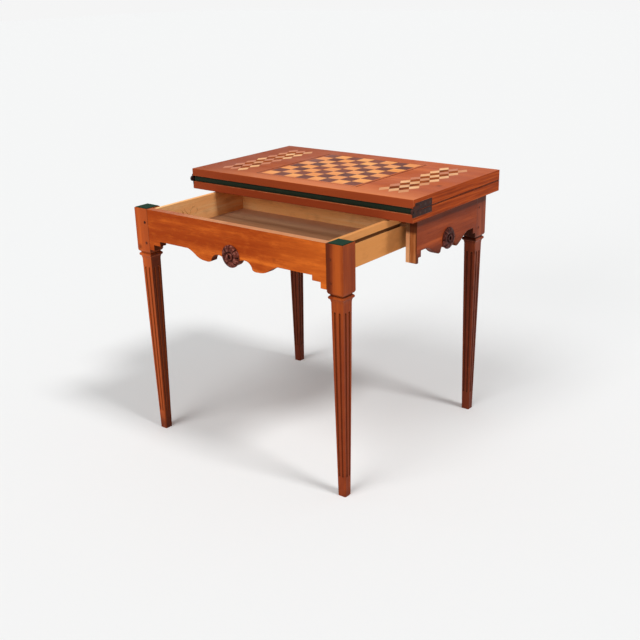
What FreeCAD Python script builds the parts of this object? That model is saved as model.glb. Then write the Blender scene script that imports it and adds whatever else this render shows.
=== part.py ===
import FreeCAD, Part
import math
import os
import re
import Sketcher

Vector = FreeCAD.Vector
Rotation = FreeCAD.Rotation
Placement = FreeCAD.Placement

os.makedirs("parts", exist_ok=True)
doc = FreeCAD.newDocument("games_table")
sheet = doc.addObject("Spreadsheet::Sheet", "Sizes")

# Driving sizes of the table in millimetres, each written once.
sizes = {
    # Whole table
    "table_height": 750,
    "top_width": 786,
    "leaf_depth": 456,
    "leaf_thick": 30,
    "leaf_gap": 1,
    "edge_gap": 0.3,
    "edge_round": 1.5,
    "side_overhang": 28,
    "rear_overhang": 22,
    "front_inset": 12,
    "pull_out": 272,
    "stop_travel": 20,
    "close_gap": 0.5,
    # Legs: post, neck, collar, shaft and flutes
    "post_size": 50,
    "post_height": 130.5,
    "front_drop": 2,
    "ovolo_height": 8.5,
    "neck_width": 39,
    "neck_height": 2.5,
    "collar_width": 47,
    "collar_height": 10,
    "cove_run": 2,
    "cove_height": 11,
    "shaft_width": 36,
    "foot_width": 25,
    "foot_corner_cut": 1.8,
    "shaft_corner_play": 0.8,
    "flute_margin": 24,
    "flute_bottom": 60,
    "flute_top_width": 6.5,
    "flute_bottom_width": 5,
    "flute_top_depth": 2.8,
    "flute_bottom_depth": 2.1,
    "flute_top_spread": 7.4,
    "flute_bottom_spread": 5.5,
    # Aprons, tenons and pegs
    "apron_thick": 22,
    "apron_depth": 87,
    "tenon_thick": 9,
    "tenon_length": 26,
    "tenon_inset": 8,
    "tenon_top": 15,
    "tenon_bottom": 14,
    "mortise_gap": 0.15,
    "peg_radius": 4,
    "peg_gap": 0.05,
    "peg_depth": 24,
    "peg_proud": 0.5,
    "peg_inset": 11.5,
    "peg_drop": 39,
    "peg_rise": 30,
    # Lower edge of the front apron, from its middle and from its flat
    "front_step_one": 45,
    "front_step_one_drop": 13.5,
    "front_step_two": 19,
    "front_step_two_drop": 29.5,
    "front_cusp": 160,
    "front_swell": 143.5,
    "front_swell_drop": 7,
    "front_ogee": 128,
    "front_ogee_drop": 17,
    "front_belly": 112,
    "front_belly_drop": 23.5,
    "front_lobe": 93,
    "front_lobe_drop": 25.5,
    "front_toe": 80,
    "front_toe_drop": 25,
    "front_lobe_end": 73.5,
    "front_lobe_end_drop": 22,
    "front_notch_side": 67,
    "front_notch_side_drop": 9,
    "front_notch": 50,
    "front_notch_drop": 1,
    # Lower edge of the side aprons, from their middle and from their flat
    "side_step_one": 22,
    "side_step_one_drop": 17,
    "side_step_end": 9,
    "side_step_end_drop": 32,
    "side_edge_drop": 6,
    "side_cusp": 108,
    "side_swell": 92,
    "side_swell_drop": 6.8,
    "side_ogee": 76,
    "side_ogee_drop": 16,
    "side_belly": 63,
    "side_belly_drop": 24.5,
    "side_lobe": 52,
    "side_lobe_drop": 29.5,
    "side_toe": 45,
    "side_toe_drop": 30,
    "side_lobe_end": 38.5,
    "side_lobe_end_drop": 27,
    "side_notch_side": 35.8,
    "side_notch_side_drop": 19.5,
    "side_notch": 31.5,
    "side_notch_drop": 14,
    # Round tab under each rosette, and the rosettes
    "tab_radius": 28,
    "tab_rise": 3,
    "tab_start": 26,
    "rosette_radius": 30.5,
    "rosette_proud": 8,
    "rosette_rim": 2.2,
    "rosette_crown": 7,
    "rosette_crown_radius": 21,
    "rosette_valley": 4.2,
    "rosette_valley_radius": 11.5,
    "rosette_boss_radius": 10,
    "rosette_eye_radius": 5,
    "rosette_eye_floor": 3,
    "petal_count": 8,
    "petal_gap": 3.6,
    # Drawer box
    "drawer_side_thick": 12,
    "drawer_side_height": 89,
    "drawer_side_gap": 0.5,
    "drawer_top_drop": 4,
    "drawer_depth": 366,
    "drawer_back_thick": 11,
    "back_housing": 5,
    "side_housing": 5,
    "floor_thick": 7,
    "floor_rise": 12,
    "floor_groove": 5,
    "floor_gap": 0.2,
    # Guides, runners and stop
    "groove_drop": 18,
    "groove_height": 9,
    "groove_depth": 4.5,
    "runner_gap": 0.4,
    "guide_thick": 12,
    "guide_height": 85,
    "guide_groove": 4,
    "stop_length": 200,
    "stop_thick": 12,
    "stop_height": 13,
    "stop_gap": 0.3,
    "stop_screw_pitch": 140,
    # Baize
    "lining_thick": 1.5,
    "lining_border": 30,
    "channel_height": 8,
    "channel_depth": 7.5,
    "fold_gap": 0.4,
    "fold_front": 0.9,
    "fold_round": 3.2,
    "fold_end_gap": 4,
    "pad_inset": 2,
    "pad_gap": 0.3,
    # End hinges
    "plate_length": 90,
    "plate_thick": 3,
    "plate_margin": 0.5,
    "lower_plate_height": 15.5,
    "upper_plate_height": 19.5,
    "eye_radius": 8,
    "eye_gap": 0.4,
    "eye_space": 0.2,
    "strap_thick": 2.8,
    "strap_length": 30,
    "strap_height": 12,
    "pin_radius": 3,
    "pin_play": 0.05,
    "pin_hold": 0.02,
    "pin_head_radius": 4.6,
    "pin_head_thick": 1,
    "screw_radius": 1.6,
    "screw_length": 15,
    "screw_head_radius": 3.2,
    "screw_head_thick": 1.6,
    "screw_gap": 0.05,
    "screw_first": 34,
    "screw_pitch": 23,
    "screw_count": 3,
    # Inlay of the playing top
    "inlay_thick": 1.2,
    "square_size": 42,
    "square_count": 8,
    "glue_line": 0.2,
    "string_offset": 9,
    "string_width": 3.2,
    "string_thin": 1.2,
    "band_offset": 284,
    "lozenge_width": 30.5,
    "lozenge_length": 51,
    "lozenge_columns": 3,
    "lozenge_rows": 7,
}

# Places that follow from the driving sizes.
derived = {
    "under_z": "table_height - 2 * leaf_thick - leaf_gap",
    "lower_top_z": "under_z + leaf_thick",
    "upper_low_z": "lower_top_z + leaf_gap",
    "hinge_z": "lower_top_z + leaf_gap / 2",
    "front_top_z": "under_z - front_drop",
    "reach": "pull_out - front_inset + rosette_proud",
    "hinge_y": "(reach - leaf_depth) / 2",
    "leaf_front_y": "hinge_y + edge_gap",
    "leaf_back_y": "hinge_y + leaf_depth",
    "leaf_middle_y": "hinge_y + leaf_depth / 2",
    "side_x": "top_width / 2",
    "post_out_x": "side_x - side_overhang",
    "post_in_x": "post_out_x - post_size",
    "leg_x": "post_out_x - post_size / 2",
    "front_y": "hinge_y + front_inset - pull_out",
    "front_leg_y": "front_y + post_size / 2",
    "rear_y": "leaf_back_y - rear_overhang",
    "rear_post_y": "rear_y - post_size",
    "rear_leg_y": "rear_y - post_size / 2",
    "apron_front_y": "hinge_y + front_inset + post_size + close_gap",
    "side_length": "rear_post_y - apron_front_y",
    "side_middle_y": "(rear_post_y + apron_front_y) / 2",
    "apron_back_y": "front_y + apron_thick",
    "edge_z": "front_top_z - apron_depth",
    "side_edge_z": "edge_z - side_edge_drop",
    "post_bottom": "under_z - post_height",
    "ovolo_z": "post_bottom + ovolo_height",
    "ovolo_run": "(post_size - neck_width) / 2",
    "ovolo_chord": "sqrt(ovolo_run ^ 2 + ovolo_height ^ 2)",
    "neck_z": "post_bottom - neck_height",
    "collar_z": "neck_z - collar_height",
    "shaft_z": "collar_z - cove_height",
    "collar_edge": "shaft_width + 2 * cove_run",
    "cove_radius": "(cove_run ^ 2 + cove_height ^ 2) / (2 * cove_run)",
    "flute_top": "shaft_z - flute_margin",
    "foot_reach": "foot_width / sqrt(2) - foot_corner_cut",
    "shaft_reach": "shaft_width / sqrt(2) + shaft_corner_play",
    "box_out_x": "post_in_x - drawer_side_gap",
    "box_in_x": "box_out_x - drawer_side_thick",
    "box_rear_y": "apron_back_y + drawer_depth",
    "box_back_y": "box_rear_y - drawer_back_thick",
    "box_top_z": "under_z - drawer_top_drop",
    "box_low_z": "box_top_z - drawer_side_height",
    "floor_z": "box_low_z + floor_rise",
    "floor_top_z": "floor_z + floor_thick",
    "groove_z": "box_top_z - groove_drop - groove_height",
    "guide_out_x": "post_out_x - apron_thick",
    "guide_in_x": "guide_out_x - guide_thick",
    "runner_in_x": "box_out_x - groove_depth + runner_gap",
    "stop_rear_y": "box_back_y - stop_travel - stop_gap",
    "plate_x": "side_x - plate_thick",
    "lower_plate_z": "lower_top_z - plate_margin - lower_plate_height",
    "upper_plate_z": "upper_low_z + plate_margin",
    "eye_clear": "eye_radius + eye_gap",
    "upper_plate_y": "hinge_y + eye_clear",
    "upper_plate_run": "plate_length - eye_clear",
    "strap_x": "side_x + eye_space",
    "field_half": "square_size * square_count / 2",
    "field_front_y": "leaf_middle_y - field_half",
    "string_x": "field_half + string_offset",
    "inlay_z": "table_height - inlay_thick",
    "upper_peg_z": "front_top_z - peg_drop",
    "lower_peg_z": "post_bottom + peg_rise",
    "tenon_z": "post_bottom + tenon_bottom",
    "tenon_top_z": "front_top_z - tenon_top",
    "tenon_height": "tenon_top_z - tenon_z",
}

for row, (alias, number) in enumerate(sizes.items(), start=1):
    sheet.set("A%d" % row, alias)
    sheet.set("B%d" % row, str(number))
    sheet.setAlias("B%d" % row, alias)
doc.recompute()


def expand(text):
    def swap(match):
        word = match.group(0)
        if word in derived:
            return "(" + expand(derived[word]) + ")"
        if word in sizes:
            return "Sizes." + word
        return word
    return re.sub(r"[A-Za-z_][A-Za-z_0-9]*", swap, text)


def amount(text):
    return float(sheet.evalExpression(expand(text)))


def bind(item, path, text):
    item.setExpression(path, expand(text))


def place(item, x, y, z):
    bind(item, "Placement.Base.x", x)
    bind(item, "Placement.Base.y", y)
    bind(item, "Placement.Base.z", z)
    return item


def box(name, x, y, z, dx, dy, dz):
    item = doc.addObject("Part::Box", name)
    bind(item, "Length", dx)
    bind(item, "Width", dy)
    bind(item, "Height", dz)
    return place(item, x, y, z)


def centred_box(name, dx, y, z, dy, dz):
    return box(name, "-(" + dx + ") / 2", y, z, dx, dy, dz)


turns = {
    "x": Rotation(Vector(0, 1, 0), 90),
    "y": Rotation(Vector(1, 0, 0), -90),
    "-y": Rotation(Vector(1, 0, 0), 90),
    "z": Rotation(),
}


def rod(name, axis, x, y, z, radius, length):
    item = doc.addObject("Part::Cylinder", name)
    item.Placement = Placement(Vector(), turns[axis])
    bind(item, "Radius", radius)
    bind(item, "Height", length)
    return place(item, x, y, z)


def fuse(name, items):
    item = doc.addObject("Part::MultiFuse", name)
    item.Shapes = items
    return item


def cut(name, base, tools):
    tool = tools[0]
    if len(tools) > 1:
        tool = fuse(name + "_tools", tools)
    item = doc.addObject("Part::Cut", name)
    item.Base = base
    item.Tool = tool
    return item


def mirror(name, source):
    item = doc.addObject("Part::Mirroring", name)
    item.Source = source
    item.Base = Vector()
    item.Normal = Vector(1, 0, 0)
    return item


def pin_point(sketch, geo, spot, key, corner):
    for axis, line, text in (("DistanceX", -2, corner[0]), ("DistanceY", -1, corner[1])):
        if text == "0":
            sketch.addConstraint(Sketcher.Constraint("PointOnObject", geo, spot, line))
            continue
        fixed = Sketcher.Constraint(axis, -1, 1, geo, spot, amount(text))
        index = sketch.addConstraint(fixed)
        word = key + ("u" if axis == "DistanceX" else "v")
        sketch.renameConstraint(index, word)
        bind(sketch, "Constraints." + word, text)


def point_at(corner):
    return Vector(amount(corner[0]), amount(corner[1]), 0)


# A closed outline of straight lines and three-point arcs. Each step is a corner,
# or a point on an arc followed by the corner where the arc ends.
def draw_outline(sketch, start, steps):
    corners = [start]
    corners.extend(step[-1] for step in steps)
    ends = []
    for number, step in enumerate(steps):
        first = point_at(corners[number])
        last = point_at(corners[number + 1])
        if len(step) == 1:
            geo = sketch.addGeometry(Part.LineSegment(first, last), False)
            ends.append((geo, 1, 2))
            continue
        middle = point_at(step[0])
        turn = (middle - first).cross(last - middle).z
        if turn > 0:
            geo = sketch.addGeometry(Part.Arc(first, middle, last), False)
            ends.append((geo, 1, 2))
        else:
            geo = sketch.addGeometry(Part.Arc(last, middle, first), False)
            ends.append((geo, 2, 1))
        mark = sketch.addGeometry(Part.Point(middle), True)
        sketch.addConstraint(Sketcher.Constraint("PointOnObject", mark, 1, geo))
        pin_point(sketch, mark, 1, "mid%d" % number, step[0])
    for number, (geo, head, tail) in enumerate(ends):
        after = ends[(number + 1) % len(ends)]
        sketch.addConstraint(Sketcher.Constraint("Coincident", geo, tail, after[0], after[1]))
        pin_point(sketch, geo, head, "at%d" % number, corners[number])
    return sketch


def new_body(name):
    return doc.addObject("PartDesign::Body", name)


def body_sketch(body, name, role):
    sketch = body.newObject("Sketcher::SketchObject", name)
    plane = [item for item in body.Origin.OriginFeatures if item.Role == role][0]
    sketch.AttachmentSupport = (plane, [""])
    sketch.MapMode = "FlatFace"
    return sketch


def pad(body, sketch, length):
    item = body.newObject("PartDesign::Pad", sketch.Name + "_pad")
    item.Profile = sketch
    bind(item, "Length", length)
    return item


def minus(text):
    return "-(" + text + ")"


def plus(first, second):
    return "(" + first + ") + (" + second + ")"


def flipped(steps, start):
    corners = [start]
    corners.extend(step[-1] for step in steps)
    back = []
    for number in range(len(steps) - 1, -1, -1):
        side = [(minus(u), v) for u, v in steps[number][:-1]]
        u, v = corners[number]
        side.append((minus(u), v))
        back.append(tuple(side))
    return back


# Shaped lower edge from the round tab outwards to the flat: lobe, ogee and cusp.
def shaped_edge(kind, level):
    def spot(word):
        return (kind + "_" + word, level + " - " + kind + "_" + word + "_drop")
    tab_low = level + " + tab_rise"
    tab_edge = tab_low + " - sqrt(tab_radius ^ 2 - tab_start ^ 2)"
    start = ("0", tab_low + " - tab_radius")
    lift = "(tab_start + " + kind + "_notch) / 2"
    rise = level + " - " + kind + "_notch_drop"
    tuck = "(" + rise + ") * 0.85 + (" + tab_edge + ") * 0.15"
    quarter = "tab_radius * sqrt(0.5)"
    steps = [
        ((quarter, tab_low + " - " + quarter), ("tab_start", tab_edge)),
        ((lift, tuck), spot("notch")),
        (spot("notch_side"), spot("lobe_end")),
        (spot("toe"), spot("lobe")),
        (spot("belly"), spot("ogee")),
        (spot("swell"), (kind + "_cusp", level)),
    ]
    return start, steps


# Whole outline of an apron: the shaped edge, the steps beside the posts and a straight top.
def apron_outline(sketch, kind, level, half, top, risers):
    start, steps = shaped_edge(kind, level)
    right = list(steps)
    for inward, above, below in risers:
        right.append(((half + " - " + inward, above),))
        right.append(((half + " - " + inward, below),))
    right.append(((half, risers[-1][2]),))
    right.append(((half, top),))
    left = flipped(right, start)
    whole = list(right)
    whole.append(((minus(half), top),))
    whole.extend(left)
    return draw_outline(sketch, start, whole)


# Section of a leg on one side of its axis, from the foot up to the top of the post.
def leg_section(top):
    cove_x = "shaft_width / 2 + cove_radius - sqrt(cove_radius ^ 2 - (0.6 * cove_height) ^ 2)"
    ovolo_x = "post_size / 2 + ovolo_chord * (ovolo_height - ovolo_chord) / (2 * ovolo_run)"
    return [
        (("foot_width / 2", "0"),),
        (("shaft_width / 2", "shaft_z"),),
        ((cove_x, "shaft_z + 0.6 * cove_height"), ("collar_edge / 2", "collar_z")),
        (("collar_width / 2", "collar_z + collar_height / 2"), ("collar_edge / 2", "neck_z")),
        (("neck_width / 2", "neck_z"),),
        (("neck_width / 2", "post_bottom"),),
        ((ovolo_x, "ovolo_z - ovolo_chord / 2"), ("post_size / 2", "ovolo_z")),
        (("post_size / 2", top),),
    ]


def leg_side(name, turn, x, y, top):
    sketch = doc.addObject("Sketcher::SketchObject", name + "_section")
    sketch.Placement = Placement(Vector(), turn)
    right = leg_section(top)
    left = flipped(right, ("0", "0"))
    whole = list(right)
    whole.append(((minus("post_size / 2"), top),))
    whole.extend(left[:-1])
    whole.append((right[0][-1],))
    draw_outline(sketch, right[0][-1], whole[1:])
    place(sketch, x, y, "0")
    item = doc.addObject("Part::Extrusion", name)
    item.Base = sketch
    item.DirMode = "Normal"
    item.Symmetric = True
    item.Solid = True
    bind(item, "LengthFwd", "post_size + collar_width")
    return item


# Flutes that narrow with the shaft: two on each face, rounded at both ends.
def flute_shape():
    def radius(width, depth):
        return (width * width / 4 + depth * depth) / (2 * depth)
    shaft = amount("shaft_z")
    foot = amount("foot_width") / 2
    gain = (amount("shaft_width") / 2 - foot) / shaft
    low = amount("flute_bottom")
    high = amount("flute_top")
    low_radius = radius(amount("flute_bottom_width"), amount("flute_bottom_depth"))
    high_radius = radius(amount("flute_top_width"), amount("flute_top_depth"))
    low_out = foot + gain * low + low_radius - amount("flute_bottom_depth")
    high_out = foot + gain * high + high_radius - amount("flute_top_depth")
    cutters = []
    for side in (-1, 1):
        start = Vector(side * amount("flute_bottom_spread"), -low_out, low)
        end = Vector(side * amount("flute_top_spread"), -high_out, high)
        span = (end - start).Length
        slant = math.sqrt(0.5)
        nose = Part.Arc(
            Vector(0, 0, -low_radius),
            Vector(low_radius * slant, 0, -low_radius * slant),
            Vector(low_radius, 0, 0),
        ).toShape()
        flank = Part.LineSegment(Vector(low_radius, 0, 0), Vector(high_radius, 0, span)).toShape()
        crown = Part.Arc(
            Vector(high_radius, 0, span),
            Vector(high_radius * slant, 0, span + high_radius * slant),
            Vector(0, 0, span + high_radius),
        ).toShape()
        spine = Part.LineSegment(
            Vector(0, 0, span + high_radius), Vector(0, 0, -low_radius)
        ).toShape()
        face = Part.Face(Part.Wire([nose, flank, crown, spine]))
        solid = face.revolve(Vector(), Vector(0, 0, 1), 360)
        solid.Placement = Placement(start, Rotation(Vector(0, 0, 1), end - start))
        for quarter in range(4):
            copy = solid.copy()
            copy.rotate(Vector(), Vector(0, 0, 1), 90 * quarter)
            cutters.append(copy)
    return Part.makeCompound(cutters)


# Cone that rounds the corners of the shaft more and more towards the foot, and leaves the post alone.
def leg_envelope(name, x, y, top):
    cone = doc.addObject("Part::Cone", name + "_cone")
    bind(cone, "Radius1", "foot_reach")
    bind(cone, "Radius2", "shaft_reach")
    bind(cone, "Height", "shaft_z")
    place(cone, x, y, "0")
    half = "post_size / 2 + collar_width"
    low = "shaft_z - cove_height"
    upper = box(name + "_upper", x + " - (" + half + ")", y + " - (" + half + ")", low,
                "2 * (" + half + ")", "2 * (" + half + ")", top + " - (" + low + ") + cove_height")
    return fuse(name + "_envelope", [cone, upper])


def leg_blank(name, x, y, top):
    across = leg_side(name + "_across", Rotation(Vector(1, 0, 0), 90), x, y, top)
    along = leg_side(name + "_along", Rotation(Vector(1, 1, 1), 120), x, y, top)
    blank = doc.addObject("Part::MultiCommon", name + "_blank")
    blank.Shapes = [across, along, leg_envelope(name, x, y, top)]
    flutes = doc.addObject("Part::Feature", name + "_flutes")
    flutes.Shape = flute_shape()
    place(flutes, x, y, "0")
    return blank, flutes


def tenon(name, x, y, dx, dy):
    return box(name, x, y, "tenon_z", dx, dy, "tenon_height")


def mortise(name, x, y, dx, dy):
    grow = "mortise_gap"
    return box(
        name,
        x + " - " + grow,
        y + " - " + grow,
        "tenon_z - " + grow,
        dx + " + 2 * " + grow,
        dy + " + 2 * " + grow,
        "tenon_height + 2 * " + grow,
    )


def pegs(name, axis, x, y):
    made = []
    for word, level in (("upper", "upper_peg_z"), ("lower", "lower_peg_z")):
        made.append(
            rod(name + "_" + word, axis, x, y, level, "peg_radius", "peg_depth + peg_proud")
        )
    return made


def peg_holes(name, axis, x, y):
    made = []
    for word, level in (("upper", "upper_peg_z"), ("lower", "lower_peg_z")):
        made.append(
            rod(
                name + "_" + word,
                axis,
                x,
                y,
                level,
                "peg_radius + peg_gap",
                "peg_depth + peg_proud + peg_gap",
            )
        )
    return made


nodes = []


def keep(item, label):
    item.Label = label
    nodes.append(item)
    return item


# Front frame: the legs that draw out, with the apron and the drawer box behind it.
front_tenon_y = "front_y + tenon_inset"
front_peg_x = "post_in_x + peg_inset"
front_holes = peg_holes("front_peg_hole", "y", front_peg_x, "front_y - peg_proud")
front_hole_pair = fuse("front_peg_holes", front_holes)
front_peg_pair = fuse("front_peg_pair", pegs("front_peg", "y", front_peg_x, "front_y - peg_proud"))
front_mortise = mortise("front_mortise", "post_in_x", front_tenon_y, "tenon_length", "tenon_thick")
front_blank, front_flutes = leg_blank("front_leg", "leg_x", "front_leg_y", "front_top_z")
front_right_leg = cut("front_right_leg", front_blank, [front_flutes, front_mortise, front_hole_pair])
keep(front_right_leg, "front_right_leg")
keep(mirror("front_left_leg", front_right_leg), "front_left_leg")
keep(fuse("front_pegs", [front_peg_pair, mirror("front_pegs_left", front_peg_pair)]), "front_pegs")

front_board = new_body("front_board")
front_sketch = body_sketch(front_board, "front_outline", "XZ_Plane")
apron_outline(
    front_sketch,
    "front",
    "edge_z",
    "post_in_x",
    "front_top_z",
    [
        ("front_step_one", "edge_z", "edge_z - front_step_one_drop"),
        ("front_step_two", "edge_z - front_step_one_drop", "edge_z - front_step_two_drop"),
    ],
)
pad(front_board, front_sketch, "apron_thick")
place(front_board, "0", "apron_back_y", "0")
front_tenon = tenon("front_tenon", "post_in_x", front_tenon_y, "tenon_length", "tenon_thick")
front_whole = fuse("front_whole", [front_board, front_tenon, mirror("front_tenon_left", front_tenon)])
side_slot = box(
    "side_slot",
    "box_in_x",
    "apron_back_y - side_housing",
    "box_low_z",
    "drawer_side_thick + drawer_side_gap",
    "side_housing",
    "drawer_side_height",
)
floor_slot = centred_box(
    "floor_slot",
    "2 * box_in_x",
    "apron_back_y - side_housing",
    "floor_z",
    "side_housing",
    "floor_thick",
)
front_apron = cut(
    "front_apron",
    front_whole,
    [
        front_hole_pair,
        mirror("front_peg_holes_left", front_hole_pair),
        side_slot,
        mirror("side_slot_left", side_slot),
        floor_slot,
    ],
)
keep(front_apron, "front_apron")

# Drawer box: sides grooved for the runners outside and for the floor inside.
side_board = box(
    "drawer_side_board",
    "box_in_x",
    "apron_back_y - side_housing",
    "box_low_z",
    "drawer_side_thick",
    "drawer_depth + side_housing",
    "drawer_side_height",
)
runner_groove = box(
    "runner_groove",
    "box_out_x - groove_depth",
    "apron_back_y",
    "groove_z",
    "groove_depth",
    "drawer_depth",
    "groove_height",
)
floor_groove = box(
    "side_floor_groove",
    "box_in_x",
    "apron_back_y - side_housing",
    "floor_z",
    "floor_groove",
    "drawer_depth + side_housing",
    "floor_thick",
)
back_rebate = box(
    "back_rebate",
    "box_in_x",
    "box_back_y",
    "floor_top_z",
    "back_housing",
    "drawer_back_thick",
    "box_top_z - floor_top_z",
)
drawer_right_side = cut(
    "drawer_right_side", side_board, [runner_groove, floor_groove, back_rebate]
)
keep(drawer_right_side, "drawer_right_side")
keep(mirror("drawer_left_side", drawer_right_side), "drawer_left_side")
drawer_back = centred_box(
    "drawer_back",
    "2 * (box_in_x + back_housing)",
    "box_back_y",
    "floor_top_z",
    "drawer_back_thick",
    "box_top_z - floor_top_z",
)
keep(drawer_back, "drawer_back")
floor_middle = centred_box(
    "drawer_floor_middle",
    "2 * box_in_x",
    "apron_back_y - side_housing",
    "floor_z",
    "drawer_depth + side_housing",
    "floor_thick",
)
floor_edges = centred_box(
    "drawer_floor_edges",
    "2 * (box_in_x + floor_groove - floor_gap)",
    "apron_back_y",
    "floor_z",
    "drawer_depth",
    "floor_thick",
)
keep(fuse("drawer_floor", [floor_middle, floor_edges]), "drawer_floor")

# Rear legs, with a mortise for the side apron and one for the back apron.
side_tenon_x = "post_out_x - tenon_inset - tenon_thick"
back_tenon_y = "rear_y - tenon_inset - tenon_thick"
side_peg_y = "rear_post_y + peg_inset"
peg_start_x = "post_out_x - peg_depth"
peg_start_y = "rear_y - peg_depth"
side_hole_pair = fuse(
    "side_peg_holes",
    peg_holes("side_peg_hole", "x", peg_start_x + " - peg_gap", side_peg_y),
)
back_hole_pair = fuse(
    "back_peg_holes",
    peg_holes("back_peg_hole", "y", front_peg_x, peg_start_y + " - peg_gap"),
)
rear_peg_set = fuse(
    "rear_peg_set",
    pegs("side_peg", "x", peg_start_x, side_peg_y)
    + pegs("back_peg", "y", front_peg_x, peg_start_y),
)
side_mortise = mortise("side_mortise", side_tenon_x, "rear_post_y", "tenon_thick", "tenon_length")
back_mortise = mortise("back_mortise", "post_in_x", back_tenon_y, "tenon_length", "tenon_thick")
rear_blank, rear_flutes = leg_blank("rear_leg", "leg_x", "rear_leg_y", "under_z")
rear_right_leg = cut(
    "rear_right_leg",
    rear_blank,
    [rear_flutes, side_mortise, back_mortise, side_hole_pair, back_hole_pair],
)
keep(rear_right_leg, "rear_right_leg")
keep(mirror("rear_left_leg", rear_right_leg), "rear_left_leg")
keep(fuse("rear_pegs", [rear_peg_set, mirror("rear_pegs_left", rear_peg_set)]), "rear_pegs")

# Side aprons, tenoned into the rear posts and free at the front end.
side_body = new_body("side_board")
side_sketch = body_sketch(side_body, "side_outline", "YZ_Plane")
apron_outline(
    side_sketch,
    "side",
    "side_edge_z",
    "side_length / 2",
    "under_z",
    [
        ("side_step_one", "side_edge_z", "side_edge_z - side_step_one_drop"),
        (
            "side_step_end",
            "side_edge_z - side_step_one_drop",
            "side_edge_z - side_step_end_drop",
        ),
    ],
)
pad(side_body, side_sketch, "apron_thick")
place(side_body, "guide_out_x", "side_middle_y", "0")
side_tenon = tenon("side_tenon", side_tenon_x, "rear_post_y", "tenon_thick", "tenon_length")
right_side_apron = cut(
    "right_side_apron", fuse("side_whole", [side_body, side_tenon]), [side_hole_pair]
)
keep(right_side_apron, "right_side_apron")
keep(mirror("left_side_apron", right_side_apron), "left_side_apron")

# Back apron: a plain board between the rear posts.
back_board = centred_box(
    "back_board",
    "2 * post_in_x",
    "rear_y - apron_thick",
    "edge_z",
    "apron_thick",
    "under_z - edge_z",
)
back_tenon = tenon("back_tenon", "post_in_x", back_tenon_y, "tenon_length", "tenon_thick")
back_trim = box(
    "back_tenon_trim",
    "post_in_x",
    back_tenon_y,
    "edge_z",
    "tenon_length",
    "tenon_thick",
    "tenon_top_z - edge_z",
)
back_ends = doc.addObject("Part::MultiCommon", "back_tenon_end")
back_ends.Shapes = [back_tenon, back_trim]
back_apron = cut(
    "back_apron",
    fuse("back_whole", [back_board, back_ends, mirror("back_tenon_left", back_ends)]),
    [back_hole_pair, mirror("back_peg_holes_left", back_hole_pair)],
)
keep(back_apron, "back_apron")

# Guides on the inside of the side aprons, stepped down with them at the front end,
# and the runners let into them.
def guide_piece(name, length, height):
    low = "under_z - (" + height + ")"
    return box(name, "guide_in_x", "apron_front_y", low, "guide_thick", length, height)


guide_board = fuse(
    "guide_board",
    [
        guide_piece("guide_plank", "side_length", "guide_height"),
        guide_piece("guide_step", "side_step_one", "under_z - side_edge_z + side_step_one_drop"),
        guide_piece("guide_end", "side_step_end", "under_z - side_edge_z + side_step_end_drop"),
    ],
)
runner = box(
    "right_runner",
    "runner_in_x",
    "apron_front_y",
    "groove_z + runner_gap",
    "guide_in_x + guide_groove - runner_in_x",
    "side_length",
    "groove_height - 2 * runner_gap",
)
right_guide = cut("right_guide", guide_board, [runner])
keep(right_guide, "right_guide")
keep(mirror("left_guide", right_guide), "left_guide")
keep(runner, "right_runner")
keep(mirror("left_runner", runner), "left_runner")


# A wood screw along X or Z: flat head at the outer end, shank inside.
def screw(name, axis, x, y, z, extra):
    shank_radius = "screw_radius" + extra
    head_radius = "screw_head_radius" + extra
    shank_length = "screw_length - screw_head_thick"
    if axis == "x":
        shank = rod(name + "_shank", "x", x + " - screw_length", y, z, shank_radius, shank_length)
        head = rod(
            name + "_head", "x", x + " - screw_head_thick", y, z, head_radius, "screw_head_thick"
        )
    else:
        low = z + " + screw_head_thick"
        shank = rod(name + "_shank", "z", x, y, low, shank_radius, shank_length)
        head = rod(name + "_head", "z", x, y, z, head_radius, "screw_head_thick")
    return fuse(name, [shank, head])


# Stop batten under the lower leaf, which catches the drawer's back.
stop_y = "stop_rear_y - stop_thick"
stop_z = "under_z - stop_height"
stop_board = centred_box("stop_board", "stop_length", stop_y, stop_z, "stop_thick", "stop_height")
stop_screw_y = "stop_rear_y - stop_thick / 2"
stop_right = screw("stop_screw_right", "z", "stop_screw_pitch / 2", stop_screw_y, stop_z, "")
stop_hole = screw(
    "stop_hole_right", "z", "stop_screw_pitch / 2", stop_screw_y, stop_z, " + screw_gap"
)
stop_holes = fuse("stop_holes", [stop_hole, mirror("stop_hole_left", stop_hole)])
keep(cut("stop_batten", stop_board, [stop_holes]), "stop_batten")
keep(fuse("stop_screws", [stop_right, mirror("stop_screw_left", stop_right)]), "stop_screws")

# End hinges, let into the side edges of the leaves at the front corners.
eye_axis = ("hinge_y", "hinge_z")
lower_plate = box(
    "lower_plate",
    "plate_x",
    "hinge_y",
    "lower_plate_z",
    "plate_thick",
    "plate_length",
    "lower_plate_height",
)
lower_eye = rod("lower_eye", "x", "plate_x", *eye_axis, "eye_radius", "plate_thick")
lower_bore = rod("lower_bore", "x", "plate_x", *eye_axis, "pin_radius + pin_hold", "plate_thick")
upper_plate = box(
    "upper_plate",
    "plate_x",
    "upper_plate_y",
    "upper_plate_z",
    "plate_thick",
    "upper_plate_run",
    "upper_plate_height",
)
strap_boss = box(
    "strap_boss",
    "plate_x",
    "upper_plate_y",
    "upper_plate_z",
    "plate_thick + eye_space + strap_thick",
    "strap_length - eye_clear",
    "strap_height",
)
strap_arm = box(
    "strap_arm",
    "strap_x",
    "hinge_y",
    "upper_plate_z",
    "strap_thick",
    "strap_length",
    "strap_height",
)
upper_eye = rod("upper_eye", "x", "strap_x", *eye_axis, "eye_radius", "strap_thick")
upper_bore = rod("upper_bore", "x", "strap_x", *eye_axis, "pin_radius + pin_play", "strap_thick")
pin_length = "plate_thick + eye_space + strap_thick + eye_space"
pin_shank = rod("pin_shank", "x", "plate_x", *eye_axis, "pin_radius", pin_length)
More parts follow.
